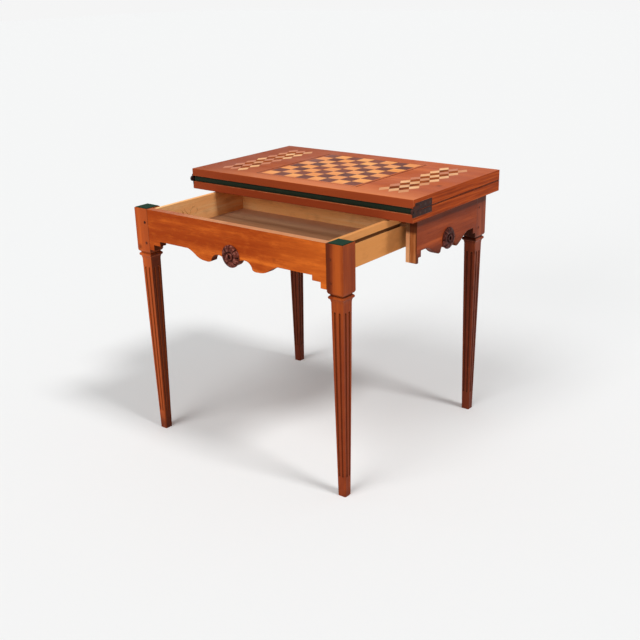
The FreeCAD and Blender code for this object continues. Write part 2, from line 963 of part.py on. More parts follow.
pin_head = rod(
    "pin_head",
    "x",
    "plate_x + " + pin_length,
    *eye_axis,
    "pin_head_radius",
    "pin_head_thick",
)
right_pin = fuse("right_pin", [pin_shank, pin_head])

screw_sets = {}
for word, level in (
    ("lower", "lower_plate_z + lower_plate_height / 2"),
    ("upper", "upper_plate_z + upper_plate_height / 2"),
):
    for use, extra in (("screw", ""), ("hole", " + screw_gap")):
        made = []
        for number in range(sizes["screw_count"]):
            along = "hinge_y + screw_first + %d * screw_pitch" % number
            made.append(
                screw("%s_%s_%d" % (word, use, number), "x", "side_x", along, level, extra)
            )
        screw_sets[word, use] = fuse("%s_%s_set" % (word, use), made)

right_lower_hinge = cut(
    "right_lower_hinge",
    fuse("lower_hinge_blank", [lower_plate, lower_eye]),
    [lower_bore, screw_sets["lower", "hole"]],
)
right_upper_hinge = cut(
    "right_upper_hinge",
    fuse("upper_hinge_blank", [upper_plate, strap_boss, strap_arm, upper_eye]),
    [upper_bore, screw_sets["upper", "hole"]],
)
keep(right_lower_hinge, "right_lower_hinge")
keep(mirror("left_lower_hinge", right_lower_hinge), "left_lower_hinge")
keep(right_upper_hinge, "right_upper_hinge")
keep(mirror("left_upper_hinge", right_upper_hinge), "left_upper_hinge")
keep(fuse("hinge_pins", [right_pin, mirror("left_pin", right_pin)]), "hinge_pins")
for word in ("lower", "upper"):
    right_set = screw_sets[word, "screw"]
    left_set = mirror("left_%s_screws" % word, right_set)
    keep(fuse("%s_hinge_screws" % word, [right_set, left_set]), "%s_hinge_screws" % word)


# A leaf board: a padded rectangle with its outer arris rounded.
def leaf_board(name, low, top_side):
    body = new_body(name)
    sketch = body_sketch(body, name + "_outline", "XY_Plane")
    draw_outline(
        sketch,
        (minus("side_x"), "leaf_front_y"),
        [
            (("side_x", "leaf_front_y"),),
            (("side_x", "leaf_back_y"),),
            ((minus("side_x"), "leaf_back_y"),),
            ((minus("side_x"), "leaf_front_y"),),
        ],
    )
    board = pad(body, sketch, "leaf_thick")
    place(body, "0", "0", low)
    doc.recompute()
    level = board.Shape.BoundBox.ZMax if top_side else board.Shape.BoundBox.ZMin
    names = []
    for number, edge in enumerate(board.Shape.Edges, start=1):
        if all(abs(corner.Z - level) < 1e-6 for corner in edge.Vertexes):
            names.append("Edge%d" % number)
    arris = body.newObject("PartDesign::Fillet", name + "_arris")
    arris.Base = (board, names)
    bind(arris, "Radius", "edge_round")
    return body


lower_board = leaf_board("lower_board", "under_z", False)
upper_board = leaf_board("upper_board", "upper_low_z", True)
lining_width = "top_width - 2 * lining_border"
lining_y = "hinge_y + channel_depth"
lining_run = "leaf_depth - channel_depth - lining_border"
lower_lining = centred_box(
    "lower_lining", lining_width, lining_y, "lower_top_z - lining_thick", lining_run, "lining_thick"
)
upper_lining = centred_box(
    "upper_lining", lining_width, lining_y, "upper_low_z", lining_run, "lining_thick"
)
lower_channel = centred_box(
    "lower_channel",
    "top_width",
    "hinge_y",
    "lower_top_z - channel_height",
    "channel_depth",
    "channel_height",
)
upper_channel = centred_box(
    "upper_channel", "top_width", "hinge_y", "upper_low_z", "channel_depth", "channel_height"
)
keep(lower_lining, "lower_lining")
keep(upper_lining, "upper_lining")

# Room for the eyes of the hinges in the corners of both leaves.
eye_room = rod(
    "eye_room", "x", "plate_x - eye_space", *eye_axis, "eye_clear", "plate_thick + 2 * eye_space"
)
lower_side_cuts = fuse(
    "lower_side_cuts", [lower_plate, eye_room, screw_sets["lower", "hole"]]
)
upper_side_cuts = fuse(
    "upper_side_cuts", [upper_plate, eye_room, screw_sets["upper", "hole"]]
)
lower_leaf = cut(
    "lower_leaf",
    lower_board,
    [
        lower_lining,
        lower_channel,
        lower_side_cuts,
        mirror("lower_side_cuts_left", lower_side_cuts),
        stop_holes,
    ],
)
keep(lower_leaf, "lower_leaf")

# Fold of baize in the channel along the hinge edge.
fold_half = "leaf_gap / 2 + channel_height - fold_gap"
fold_sketch = doc.addObject("Sketcher::SketchObject", "fold_section")
fold_sketch.Placement = Placement(Vector(), Rotation(Vector(1, 1, 1), 120))
draw_outline(
    fold_sketch,
    ("channel_depth - fold_gap", minus(fold_half)),
    [
        (("channel_depth - fold_gap", fold_half),),
        (("fold_front + fold_round", fold_half),),
        (("fold_front", "0"), ("fold_front + fold_round", minus(fold_half))),
        (("channel_depth - fold_gap", minus(fold_half)),),
    ],
)
place(fold_sketch, "0", "hinge_y", "hinge_z")
fold_strip = doc.addObject("Part::Extrusion", "fold_strip")
fold_strip.Base = fold_sketch
fold_strip.DirMode = "Normal"
fold_strip.Symmetric = True
fold_strip.Solid = True
bind(fold_strip, "LengthFwd", "top_width - 2 * (plate_thick + fold_end_gap)")
keep(fold_strip, "fold_strip")

# Baize pads on the front posts, which carry the opened leaf.
pad_size = "post_size - 2 * pad_inset"
post_pad = box(
    "right_post_pad",
    "post_in_x + pad_inset",
    "front_y + pad_inset",
    "front_top_z",
    pad_size,
    pad_size,
    "front_drop - pad_gap",
)
keep(post_pad, "right_post_pad")
keep(mirror("left_post_pad", post_pad), "left_post_pad")


# Veneer squares of the chess field, the near left one light.
def square_set(parity):
    count = int(amount("square_count"))
    pitch = amount("square_size")
    joint = amount("glue_line")
    side = pitch - joint
    left = -amount("field_half") + joint / 2
    near = amount("field_front_y") + joint / 2
    made = []
    for column in range(count):
        for row in range(count):
            if (column + row) % 2 == parity:
                corner = Vector(left + column * pitch, near + row * pitch, amount("inlay_z"))
                made.append(Part.makeBox(side, side, amount("inlay_thick"), corner))
    return Part.makeCompound(made)


def prism(points):
    low = amount("inlay_z")
    corners = [Vector(x, y, low) for x, y in points]
    corners.append(corners[0])
    face = Part.Face(Part.makePolygon(corners))
    return face.extrude(Vector(0, 0, amount("inlay_thick")))


# Bands of lozenges: light ones tip to tip, dark ones in the spaces between them.
def lozenge_places(shift):
    columns = int(amount("lozenge_columns")) - shift
    rows = int(amount("lozenge_rows")) - shift
    for column in range(columns):
        for row in range(rows):
            across = (column - (columns - 1) / 2) * amount("lozenge_width")
            along = (row - (rows - 1) / 2) * amount("lozenge_length")
            yield across, along


def lozenge_set(shift):
    half_width = amount("lozenge_width") / 2
    half_length = amount("lozenge_length") / 2
    edge = math.hypot(half_width, half_length)
    shrink = 1 - amount("glue_line") / 2 * edge / (half_width * half_length)
    half_width = half_width * shrink
    half_length = half_length * shrink
    middle = amount("leaf_middle_y")
    made = []
    for side in (-1, 1):
        for across, along in lozenge_places(shift):
            x = side * amount("band_offset") + across
            y = middle + along
            made.append(
                prism(
                    [
                        (x - half_width, y),
                        (x, y - half_length),
                        (x + half_width, y),
                        (x, y + half_length),
                    ]
                )
            )
    return Part.makeCompound(made)


# Zigzag recess that holds one whole band.
def band_recess(side):
    columns = int(amount("lozenge_columns"))
    rows = int(amount("lozenge_rows"))
    wide = amount("lozenge_width")
    long = amount("lozenge_length")
    left = side * amount("band_offset") - columns * wide / 2
    near = amount("leaf_middle_y") - rows * long / 2
    points = []
    for column in range(columns):
        points.append((left + column * wide + wide / 2, near))
        if column < columns - 1:
            points.append((left + (column + 1) * wide, near + long / 2))
    for row in range(rows):
        points.append((left + columns * wide, near + row * long + long / 2))
        if row < rows - 1:
            points.append((left + columns * wide - wide / 2, near + (row + 1) * long))
    for column in range(columns):
        points.append((left + (columns - column) * wide - wide / 2, near + rows * long))
        if column < columns - 1:
            points.append((left + (columns - column - 1) * wide, near + rows * long - long / 2))
    for row in range(rows):
        points.append((left, near + (rows - row) * long - long / 2))
        if row < rows - 1:
            points.append((left + wide / 2, near + (rows - row - 1) * long))
    return prism(points)


def shaped(name, shape):
    item = doc.addObject("Part::Feature", name)
    item.Shape = shape
    return item


keep(shaped("chess_squares_light", square_set(0)), "chess_squares_light")
keep(shaped("chess_squares_dark", square_set(1)), "chess_squares_dark")
keep(shaped("lozenges_light", lozenge_set(0)), "lozenges_light")
keep(shaped("lozenges_dark", lozenge_set(1)), "lozenges_dark")
field_recess = centred_box(
    "field_recess", "2 * field_half", "field_front_y", "inlay_z", "2 * field_half", "inlay_thick"
)
string_near = "leaf_middle_y - string_x"
string_right = box(
    "string_right",
    "string_x",
    string_near + " - string_thin",
    "inlay_z",
    "string_width",
    "2 * (string_x + string_thin)",
    "inlay_thick",
)
string_front = centred_box(
    "string_front",
    "2 * string_x",
    string_near + " - string_thin",
    "inlay_z",
    "string_thin",
    "inlay_thick",
)
string_back = centred_box(
    "string_back", "2 * string_x", "leaf_middle_y + string_x", "inlay_z", "string_thin", "inlay_thick"
)
stringing = fuse(
    "stringing", [string_right, mirror("string_left", string_right), string_front, string_back]
)
keep(stringing, "stringing")
upper_leaf = cut(
    "upper_leaf",
    upper_board,
    [
        upper_lining,
        upper_channel,
        upper_side_cuts,
        mirror("upper_side_cuts_left", upper_side_cuts),
        field_recess,
        stringing,
        shaped("left_band_recess", band_recess(-1)),
        shaped("right_band_recess", band_recess(1)),
    ],
)
keep(upper_leaf, "upper_leaf")


# A carved rosette: a turned dome with a bored eye, parted into petals.
def rosette(label, turn, x, y, z):
    body = new_body(label)
    sketch = body_sketch(body, label + "_section", "XZ_Plane")
    draw_outline(
        sketch,
        ("0", "0"),
        [
            (("rosette_radius", "0"),),
            (("rosette_radius", "rosette_rim"),),
            (
                ("rosette_crown_radius", "rosette_crown"),
                ("rosette_valley_radius", "rosette_valley"),
            ),
            (("rosette_boss_radius", "rosette_proud"),),
            (("rosette_eye_radius + 1", "rosette_proud"),),
            (("rosette_eye_radius", "rosette_eye_floor"),),
            (("0", "rosette_eye_floor"),),
            (("0", "0"),),
        ],
    )
    dome = body.newObject("PartDesign::Revolution", label + "_dome")
    dome.Profile = sketch
    dome.ReferenceAxis = (sketch, ["V_Axis"])
    dome.Angle = 360
    notch = body_sketch(body, label + "_notch", "XY_Plane")
    draw_outline(
        notch,
        ("rosette_valley_radius", "0"),
        [
            (("rosette_radius + 1", minus("petal_gap / 2")),),
            (("rosette_radius + 1", "petal_gap / 2"),),
            (("rosette_valley_radius", "0"),),
        ],
    )
    bind(notch, "AttachmentOffset.Base.z", "rosette_rim")
    doc.recompute()
    part = body.newObject("PartDesign::Pocket", label + "_parting")
    part.Profile = notch
    part.Type = "ThroughAll"
    part.Reversed = True
    doc.recompute()
    ring = body.newObject("PartDesign::PolarPattern", label + "_petals")
    ring.Originals = [part]
    ring.Axis = (notch, ["N_Axis"])
    ring.Angle = 360
    bind(ring, "Occurrences", "petal_count")
    body.Tip = ring
    body.Placement = Placement(Vector(), turn)
    place(body, x, y, z)
    doc.recompute()
    if ring.Shape.Volume > 0.995 * dome.Shape.Volume:
        raise ValueError(label + " has no petals")
    return keep(body, label)


rosette(
    "front_rosette", Rotation(Vector(1, 0, 0), 90), "0", "front_y", "edge_z + tab_rise"
)
rosette(
    "right_rosette",
    Rotation(Vector(0, 1, 0), 90),
    "post_out_x",
    "side_middle_y",
    "side_edge_z + tab_rise",
)
rosette(
    "left_rosette",
    Rotation(Vector(0, 1, 0), -90),
    minus("post_out_x"),
    "side_middle_y",
    "side_edge_z + tab_rise",
)

doc.recompute()
for item in doc.Objects:
    if "Invalid" in item.State or "Error" in item.State:
        raise ValueError(item.Name + " failed: " + str(item.State))
for item in nodes:
    if item.Shape.isNull() or not item.Shape.isValid() or not item.Shape.Solids:
        raise ValueError(item.Label + " has no valid solid")
for item in nodes:
    item.Shape.exportStep("parts/" + item.Label + ".step")
    print(item.Label, len(item.Shape.Solids), round(item.Shape.Volume))
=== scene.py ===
import math
import bmesh
import bpy
from mathutils import Matrix, Vector, noise


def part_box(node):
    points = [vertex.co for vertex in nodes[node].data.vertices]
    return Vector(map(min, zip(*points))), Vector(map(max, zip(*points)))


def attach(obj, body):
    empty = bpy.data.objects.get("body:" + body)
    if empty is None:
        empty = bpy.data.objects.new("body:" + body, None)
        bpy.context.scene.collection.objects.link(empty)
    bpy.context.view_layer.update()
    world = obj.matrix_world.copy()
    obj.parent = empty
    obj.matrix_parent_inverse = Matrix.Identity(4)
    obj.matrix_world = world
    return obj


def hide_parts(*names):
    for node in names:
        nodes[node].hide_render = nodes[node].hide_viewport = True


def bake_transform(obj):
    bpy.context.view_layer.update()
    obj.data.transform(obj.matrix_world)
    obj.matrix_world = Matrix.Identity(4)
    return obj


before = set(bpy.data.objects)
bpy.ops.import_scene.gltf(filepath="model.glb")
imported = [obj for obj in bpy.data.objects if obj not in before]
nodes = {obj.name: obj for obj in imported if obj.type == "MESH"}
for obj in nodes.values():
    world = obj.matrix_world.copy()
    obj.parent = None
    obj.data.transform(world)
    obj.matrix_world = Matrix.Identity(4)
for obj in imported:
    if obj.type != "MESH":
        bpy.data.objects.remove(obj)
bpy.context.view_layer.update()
print("frame loaded, nodes:", len(nodes))


# screen levels from 0 to 255, turned into linear light
def paint(red, green, blue):
    levels = [c / 255 for c in (red, green, blue)]
    return tuple(c / 12.92 if c < 0.04045 else ((c + 0.055) / 1.055) ** 2.4 for c in levels) + (1.0,)


# shorthand for building node trees
def put(tree, kind, wires=None, **settings):
    made = tree.nodes.new(kind)
    for key, value in settings.items():
        setattr(made, key, value)
    for key, value in (wires or {}).items():
        if isinstance(value, bpy.types.NodeSocket):
            tree.links.new(value, made.inputs[key])
        else:
            made.inputs[key].default_value = value
    return made


def calc(tree, operation, first, second=0.0, clamp=False):
    wires = {0: first, 1: second}
    return put(tree, "ShaderNodeMath", wires, operation=operation, use_clamp=clamp).outputs[0]


def times(tree, first, *others):
    product = first
    for other in others:
        product = calc(tree, "MULTIPLY", product, other)
    return product


def absolute(tree, value):
    return calc(tree, "ABSOLUTE", value)


# a span in a settings dictionary is (low, high), or (low, high, share at low, share at high)
def remap(tree, value, low, high, toLow=0.0, toHigh=1.0):
    wires = {"Value": value, "From Min": low, "From Max": high, "To Min": toLow, "To Max": toHigh}
    return put(tree, "ShaderNodeMapRange", wires).outputs[0]


def between(tree, value, low, high):
    return times(tree, calc(tree, "GREATER_THAN", value, low), calc(tree, "LESS_THAN", value, high))


def mixColour(tree, share, first, second):
    return put(tree, "ShaderNodeMix", {0: share, 6: first, 7: second}, data_type="RGBA").outputs[2]


def stretch(tree, vector, by):
    return put(tree, "ShaderNodeVectorMath", {0: vector, 1: by}, operation="MULTIPLY").outputs[0]


def speckle(tree, vector, scale, detail=4.0, rough=0.55):
    wires = {"Vector": vector, "Scale": scale, "Detail": detail, "Roughness": rough}
    return put(tree, "ShaderNodeTexNoise", wires).outputs[0]


def longSpeckle(tree, vector, by, detail=4.0, rough=0.55):
    return speckle(tree, stretch(tree, vector, by), 1.0, detail, rough)


def startGroup(name, takes, gives):
    tree = bpy.data.node_groups.new(name, "ShaderNodeTree")
    for side, sockets in (("INPUT", takes), ("OUTPUT", gives)):
        for label, kind in sockets.items():
            tree.interface.new_socket(name=label, in_out=side, socket_type="NodeSocket" + kind)
    return tree, put(tree, "NodeGroupInput").outputs, put(tree, "NodeGroupOutput").inputs


def useGroup(tree, group, wires):
    return put(tree, "ShaderNodeGroup", wires, node_tree=group).outputs


# wood grain that runs along the first axis of the vector it is given, in metres
grainLook = {
    "bend": (2.5, 9.0, 9.0), "bendDetail": 2.0, "bendBy": (0.0, 0.012, 0.012),
    "figure": (2.4, 30.0, 30.0),
    "rings": (0.5, 6.0, 6.0), "ringScale": 5.0, "ringBend": 5.0, "ringDetail": 3.0,
    "ringDetailScale": 1.5,
    "streak": (6.0, 260.0, 260.0), "streakDetail": 3.0,
    "pore": (34.0, 1500.0, 1500.0), "poreDetail": 1.0, "poreSpan": (0.58, 0.72),
}


def makeGrain():
    look = grainLook
    gives = {"Figure": "Float", "Rings": "Float", "Streak": "Float", "Pore": "Float"}
    tree, given, out = startGroup("woodGrain", {"Along": "Vector", "Size": "Float"}, gives)
    sizeWires = {0: given["Along"], "Scale": given["Size"]}
    sized = put(tree, "ShaderNodeVectorMath", sizeWires, operation="SCALE").outputs[0]
    slow = stretch(tree, sized, look["bend"])
    driftWires = {"Vector": slow, "Scale": 1.0, "Detail": look["bendDetail"]}
    drift = put(tree, "ShaderNodeTexNoise", driftWires).outputs[1]
    bendWires = {0: drift, 1: look["bendBy"], 2: sized}
    bent = put(tree, "ShaderNodeVectorMath", bendWires, operation="MULTIPLY_ADD").outputs[0]
    ringWires = {"Vector": stretch(tree, bent, look["rings"]), "Scale": look["ringScale"],
                 "Distortion": look["ringBend"], "Detail": look["ringDetail"],
                 "Detail Scale": look["ringDetailScale"]}
    rings = put(tree, "ShaderNodeTexWave", ringWires, wave_type="RINGS", rings_direction="X")
    pores = longSpeckle(tree, bent, look["pore"], look["poreDetail"])
    tree.links.new(longSpeckle(tree, bent, look["figure"]), out["Figure"])
    tree.links.new(rings.outputs[1], out["Rings"])
    tree.links.new(longSpeckle(tree, bent, look["streak"], look["streakDetail"]), out["Streak"])
    tree.links.new(remap(tree, pores, *look["poreSpan"]), out["Pore"])
    return tree


# worn arrises: a mask along the edges, and the normal of a softly rounded edge
arrisLook = {"samples": 6, "turned": (0.004, 0.16)}


def makeArris():
    gives = {"Mask": "Float", "Normal": "Vector"}
    tree, given, out = startGroup("wornArris", {"Width": "Float"}, gives)
    bevel = put(tree, "ShaderNodeBevel", {"Radius": given["Width"]}, samples=arrisLook["samples"])
    rounded = bevel.outputs[0]
    flat = put(tree, "ShaderNodeNewGeometry").outputs["Normal"]
    sides = {0: rounded, 1: flat}
    facing = put(tree, "ShaderNodeVectorMath", sides, operation="DOT_PRODUCT").outputs[1]
    away = calc(tree, "SUBTRACT", 1.0, facing)
    tree.links.new(remap(tree, away, *arrisLook["turned"]), out["Mask"])
    tree.links.new(rounded, out["Normal"])
    return tree


# old polish and dirt left in hollows, with painted shade there too: the mask is ambient occlusion
hollowLook = {"samples": 8, "shut": (0.92, 0.35)}


def makeHollow():
    tree, given, out = startGroup("darkHollow", {"Reach": "Float"}, {"Mask": "Float"})
    shut = put(tree, "ShaderNodeAmbientOcclusion", {"Distance": given["Reach"]},
               samples=hollowLook["samples"], only_local=True)
    tree.links.new(remap(tree, shut.outputs[1], *hollowLook["shut"]), out["Mask"])
    return tree


# scattered small knots and old spots
marksLook = {"spot": (0.16, 0.03)}


def makeMarks():
    takes = {"Place": "Vector", "Scale": "Float", "Keep": "Float"}
    tree, given, out = startGroup("oldMarks", takes, {"Mask": "Float"})
    spots = put(tree, "ShaderNodeTexVoronoi", {"Vector": given["Place"], "Scale": given["Scale"]})
    tone = put(tree, "ShaderNodeSeparateColor", {0: spots.outputs["Color"]}).outputs[0]
    few = calc(tree, "LESS_THAN", tone, given["Keep"])
    near = remap(tree, spots.outputs["Distance"], *marksLook["spot"])
    tree.links.new(times(tree, few, near), out["Mask"])
    return tree


grainGroup = makeGrain()
arrisGroup = makeArris()
hollowGroup = makeHollow()
marksGroup = makeMarks()
print("shared surface effects made")


def startMaterial(name):
    material = bpy.data.materials.new(name)
    material.use_nodes = True
    tree = material.node_tree
    tree.nodes.clear()
    shader = put(tree, "ShaderNodeBsdfPrincipled")
    result = put(tree, "ShaderNodeOutputMaterial")
    tree.links.new(shader.outputs[0], result.inputs[0])
    return material, tree, shader


def objectPlace(tree):
    return put(tree, "ShaderNodeTexCoord").outputs["Object"]


def finishMaterial(tree, shader, wires, settings):
    for label, socket in wires.items():
        tree.links.new(socket, shader.inputs[label])
    for label, value in settings.items():
        shader.inputs[label].default_value = value


def alongGrain(tree, axes, grain):
    order = {"x": (0, 1, 2), "y": (1, 0, 2), "z": (2, 0, 1)}[grain]
    wires = {i: axes[k] for i, k in enumerate(order)}
    return put(tree, "ShaderNodeCombineXYZ", wires).outputs[0]


# what a wood has where its own settings say nothing else
plainWood = {
    "size": 1.0, "markScale": 14.0, "edge": 0.0016, "reach": 0.008, "grimeAndShade": 0.7, "grimeAndShadeLeft": 1.0,
    "bump": 0.12, "shine": 0.1,
}

# what all woods share
woodFinish = {
    "body": (0.36, 0.66), "flame": (0.52, 0.74), "ring": (0.55, 1.0), "streak": (0.50, 0.72),
    "marks": 0.6, "wearScale": 38.0, "wear": (0.36, 0.62), "left": (-0.1, 0.0),
    "cloudScale": 9.0, "cloud": (0.3, 0.7), "poreRough": 0.12, "streakHeight": 0.5,
    "bumpDepth": 0.0006, "shineTint": (1.0, 0.55, 0.32, 1.0),
}


def makeWood(name, ownLook, extra=None, last=None):
    look = {**plainWood, **ownLook}
    shared = woodFinish
    material, tree, shader = startMaterial(name)
    place = objectPlace(tree)
    axes = put(tree, "ShaderNodeSeparateXYZ", {0: place}).outputs
    along = alongGrain(tree, axes, look["grain"])
    grain = useGroup(tree, grainGroup, {"Along": along, "Size": look["size"]})
    figure = remap(tree, grain["Figure"], *shared["body"])
    colour = mixColour(tree, figure, look["dark"], look["body"])
    bright = remap(tree, grain["Figure"], *shared["flame"], 0.0, look["flame"])
    colour = mixColour(tree, bright, colour, look["pale"])
    ring = remap(tree, grain["Rings"], *shared["ring"], 0.0, look["ring"])
    colour = mixColour(tree, ring, colour, look["dark"])
    line = remap(tree, grain["Streak"], *shared["streak"], 0.0, look["streak"])
    colour = mixColour(tree, line, colour, look["dark"])
    colour = mixColour(tree, times(tree, grain["Pore"], look["pore"]), colour, look["deep"])
    if extra:
        colour = extra(tree, place, axes, colour)
    markWires = {"Place": place, "Scale": look["markScale"], "Keep": look["marks"]}
    marks = useGroup(tree, marksGroup, markWires)
    colour = mixColour(tree, times(tree, marks["Mask"], shared["marks"]), colour, look["deep"])
    arris = useGroup(tree, arrisGroup, {"Width": look["edge"]})
    patchy = remap(tree, speckle(tree, place, shared["wearScale"]), *shared["wear"])
    colour = mixColour(tree, times(tree, arris["Mask"], patchy, look["wear"]), colour, look["worn"])
    # hollows darkened for old polish and dirt, and as painted shade; the left side can take less of
    # it
    hollow = useGroup(tree, hollowGroup, {"Reach": look["reach"]})
    leftShare = remap(tree, axes[0], *shared["left"], look["grimeAndShadeLeft"], 1.0)
    grimeAndShade = times(tree, hollow["Mask"], leftShare, look["grimeAndShade"])
    colour = mixColour(tree, grimeAndShade, colour, look["deep"])
    if last:
        colour = last(tree, place, axes, colour)
    cloud = speckle(tree, place, shared["cloudScale"])
    polish = remap(tree, cloud, *shared["cloud"], *look["gloss"])
    openPore = times(tree, grain["Pore"], shared["poreRough"])
    roughness = calc(tree, "ADD", polish, openPore, clamp=True)
    ridge = times(tree, grain["Streak"], shared["streakHeight"])
    height = calc(tree, "SUBTRACT", ridge, grain["Pore"])
    bumpWires = {"Strength": look["bump"], "Distance": shared["bumpDepth"], "Height": height,
                 "Normal": arris["Normal"]}
    bump = put(tree, "ShaderNodeBump", bumpWires).outputs[0]
    finishMaterial(tree, shader, {"Base Color": colour, "Roughness": roughness, "Normal": bump},
                   {"Specular IOR Level": look["shine"], "Specular Tint": shared["shineTint"]})
    return material


def dress(material, *names):
    for name in names:
        mesh = nodes[name].data
        mesh.materials.clear()
        mesh.materials.append(material)


# dirt in joint lines, and painted shadow under the fixed leaf and high on front ends, shared by
# several pieces
jointDirtAndShadowLook = {
    "core": 0.3, "shadowUnderTop": (0.6585, 0.664, 0.0, 0.66), "shadowHighOnEnd": (0.639, 0.648, 0.0, 0.85),
}


def seam(tree, axis, at, width, share):
    away = absolute(tree, calc(tree, "SUBTRACT", absolute(tree, axis), at))
    return remap(tree, away, width, width * jointDirtAndShadowLook["core"], 0.0, share)


# painted shadow on faces just under the fixed leaf
def shadowUnderTop(tree, axes):
    return remap(tree, axes[2], *jointDirtAndShadowLook["shadowUnderTop"])


# painted shadow high on front ends, under the overhang of the leaf
def shadowHighOnEnd(tree, axes):
    return remap(tree, axes[2], *jointDirtAndShadowLook["shadowHighOnEnd"])


# which way a face looks, in the piece's own axes
def lookWay(tree):
    normal = put(tree, "ShaderNodeTexCoord").outputs["Normal"]
    return put(tree, "ShaderNodeSeparateXYZ", {0: normal}).outputs


# above 0 where a face looks away from the middle of the table, below 0 where it looks inward
def lookOut(tree, facing, axes):
    return times(tree, facing[0], calc(tree, "SIGN", axes[0]))


# front apron, and the plain back apron: grain across the table
frontApronLook = {
    "grain": "x", "body": paint(200, 93, 31), "dark": paint(158, 61, 17), "pale": paint(234, 122, 42),
    "deep": paint(70, 26, 14), "worn": paint(108, 40, 18), "gloss": (0.34, 0.5),
    "flame": 0.55, "ring": 0.2, "streak": 0.5, "pore": 0.4, "marks": 0.08,
    "edge": 0.0022, "wear": 0.7, "shine": 0.035,
    "mottle": (26.0, 26.0, 70.0), "mottleDetail": 5.0, "mottleRough": 0.62,
    "mottleDark": (0.46, 0.68, 0.0, 0.55), "mottlePale": (0.48, 0.30, 0.0, 0.2),
    "paleRight": (0.10, 0.30, 0.0, 0.25),
    "bare": paint(206, 142, 98), "bareFace": (0.5, 0.9), "bareScale": 16.0,
    "barePatch": (0.3, 0.6, 0.6, 0.95), "bareRight": (-0.22, -0.10, 0.3, 1.0),
    "stepShade": paint(54, 21, 12), "stepShadeEnd": (0.4, 0.8), "stepShadeUnder": (-0.4, -0.8), "stepShadeShare": 0.88,
    "seamAt": 0.315, "seamWidth": 0.002, "seamShare": 0.85,
}


def frontApronExtra(tree, place, axes, colour):
    look = frontApronLook
    facing = lookWay(tree)
    mottle = longSpeckle(tree, place, look["mottle"], look["mottleDetail"], look["mottleRough"])
    colour = mixColour(tree, remap(tree, mottle, *look["mottleDark"]), colour, look["dark"])
    colour = mixColour(tree, remap(tree, mottle, *look["mottlePale"]), colour, look["pale"])
    colour = mixColour(tree, remap(tree, axes[0], *look["paleRight"]), colour, look["pale"])
    topFace = remap(tree, facing[2], *look["bareFace"])
    patch = remap(tree, speckle(tree, place, look["bareScale"]), *look["barePatch"])
    bare = times(tree, topFace, patch, remap(tree, axes[0], *look["bareRight"]))
    colour = mixColour(tree, bare, colour, look["bare"])
    # painted shade on faces that look sideways or down: the ends of the steps and the undersides
    ends = remap(tree, absolute(tree, facing[0]), *look["stepShadeEnd"])
    stepShade = calc(tree, "MAXIMUM", ends, remap(tree, facing[2], *look["stepShadeUnder"]))
    colour = mixColour(tree, times(tree, stepShade, look["stepShadeShare"]), colour, look["stepShade"])
    line = seam(tree, axes[0], look["seamAt"], look["seamWidth"], look["seamShare"])
    return mixColour(tree, line, colour, look["deep"])


dress(makeWood("frontApronWood", frontApronLook, frontApronExtra), "front_apron")

backApronLook = dict(frontApronLook, body=paint(160, 76, 36), dark=paint(132, 58, 26),
                     pale=paint(184, 98, 50), flame=0.35)
dress(makeWood("backApronWood", backApronLook, frontApronExtra), "back_apron")

# side aprons: grain front to back, with the sawn front end left pale, darker towards the low edge,
# painted shade on the rear step faces, and painted shadow under the leaf and high on the front end
sideApronLook = {
    "grain": "y", "body": paint(168, 73, 31), "dark": paint(128, 49, 19), "pale": paint(194, 92, 42),
    "deep": paint(62, 24, 16), "worn": paint(66, 24, 18), "gloss": (0.36, 0.52),
    "flame": 0.5, "ring": 0.25, "streak": 0.6, "pore": 0.45, "marks": 0.08,
    "edge": 0.0036, "wear": 0.85,
    "lowEdge": (0.594, 0.572, 0.0, 0.7),
    "cut": paint(42, 15, 10), "cutFace": (-0.3, -0.7), "cutFrom": (0.16, 0.20, 0.0, 0.9),
    "endAt": -0.0313, "endPale": paint(190, 116, 66), "endDeep": paint(156, 84, 40),
    "endGrain": (110.0, 4.0, 14.0), "endDetail": 3.0, "endSpan": (0.38, 0.62),
    "endRim": (0.3605, 0.3635, 0.0, 0.7),
    "seamAt": 0.290, "seamWidth": 0.0011, "seamShare": 0.8,
}


def sideApronExtra(tree, place, axes, colour):
    look = sideApronLook
    colour = mixColour(tree, remap(tree, axes[2], *look["lowEdge"]), colour, look["deep"])
    # painted shade on the faces that look forward at the rear steps, near the rear post
    cutFace = remap(tree, lookWay(tree)[1], *look["cutFace"])
    cut = times(tree, cutFace, remap(tree, axes[1], *look["cutFrom"]))
    colour = mixColour(tree, cut, colour, look["cut"])
    lines = longSpeckle(tree, place, look["endGrain"], look["endDetail"])
    end = mixColour(tree, remap(tree, lines, *look["endSpan"]), look["endDeep"], look["endPale"])
    rim = remap(tree, absolute(tree, axes[0]), *look["endRim"])
    # the dark rim at the outer edge of the end, and painted shadow high on the end under the leaf
    end = mixColour(tree, calc(tree, "MAXIMUM", rim, shadowHighOnEnd(tree, axes)), end, look["deep"])
    colour = mixColour(tree, calc(tree, "LESS_THAN", axes[1], look["endAt"]), colour, end)
    # painted shadow just under the leaf
    colour = mixColour(tree, shadowUnderTop(tree, axes), colour, look["deep"])
    line = seam(tree, axes[1], look["seamAt"], look["seamWidth"], look["seamShare"])
    return mixColour(tree, line, colour, look["deep"])


sideApronWood = makeWood("sideApronWood", sideApronLook, sideApronExtra)
dress(sideApronWood, "left_side_apron", "right_side_apron")
print("aprons finished")

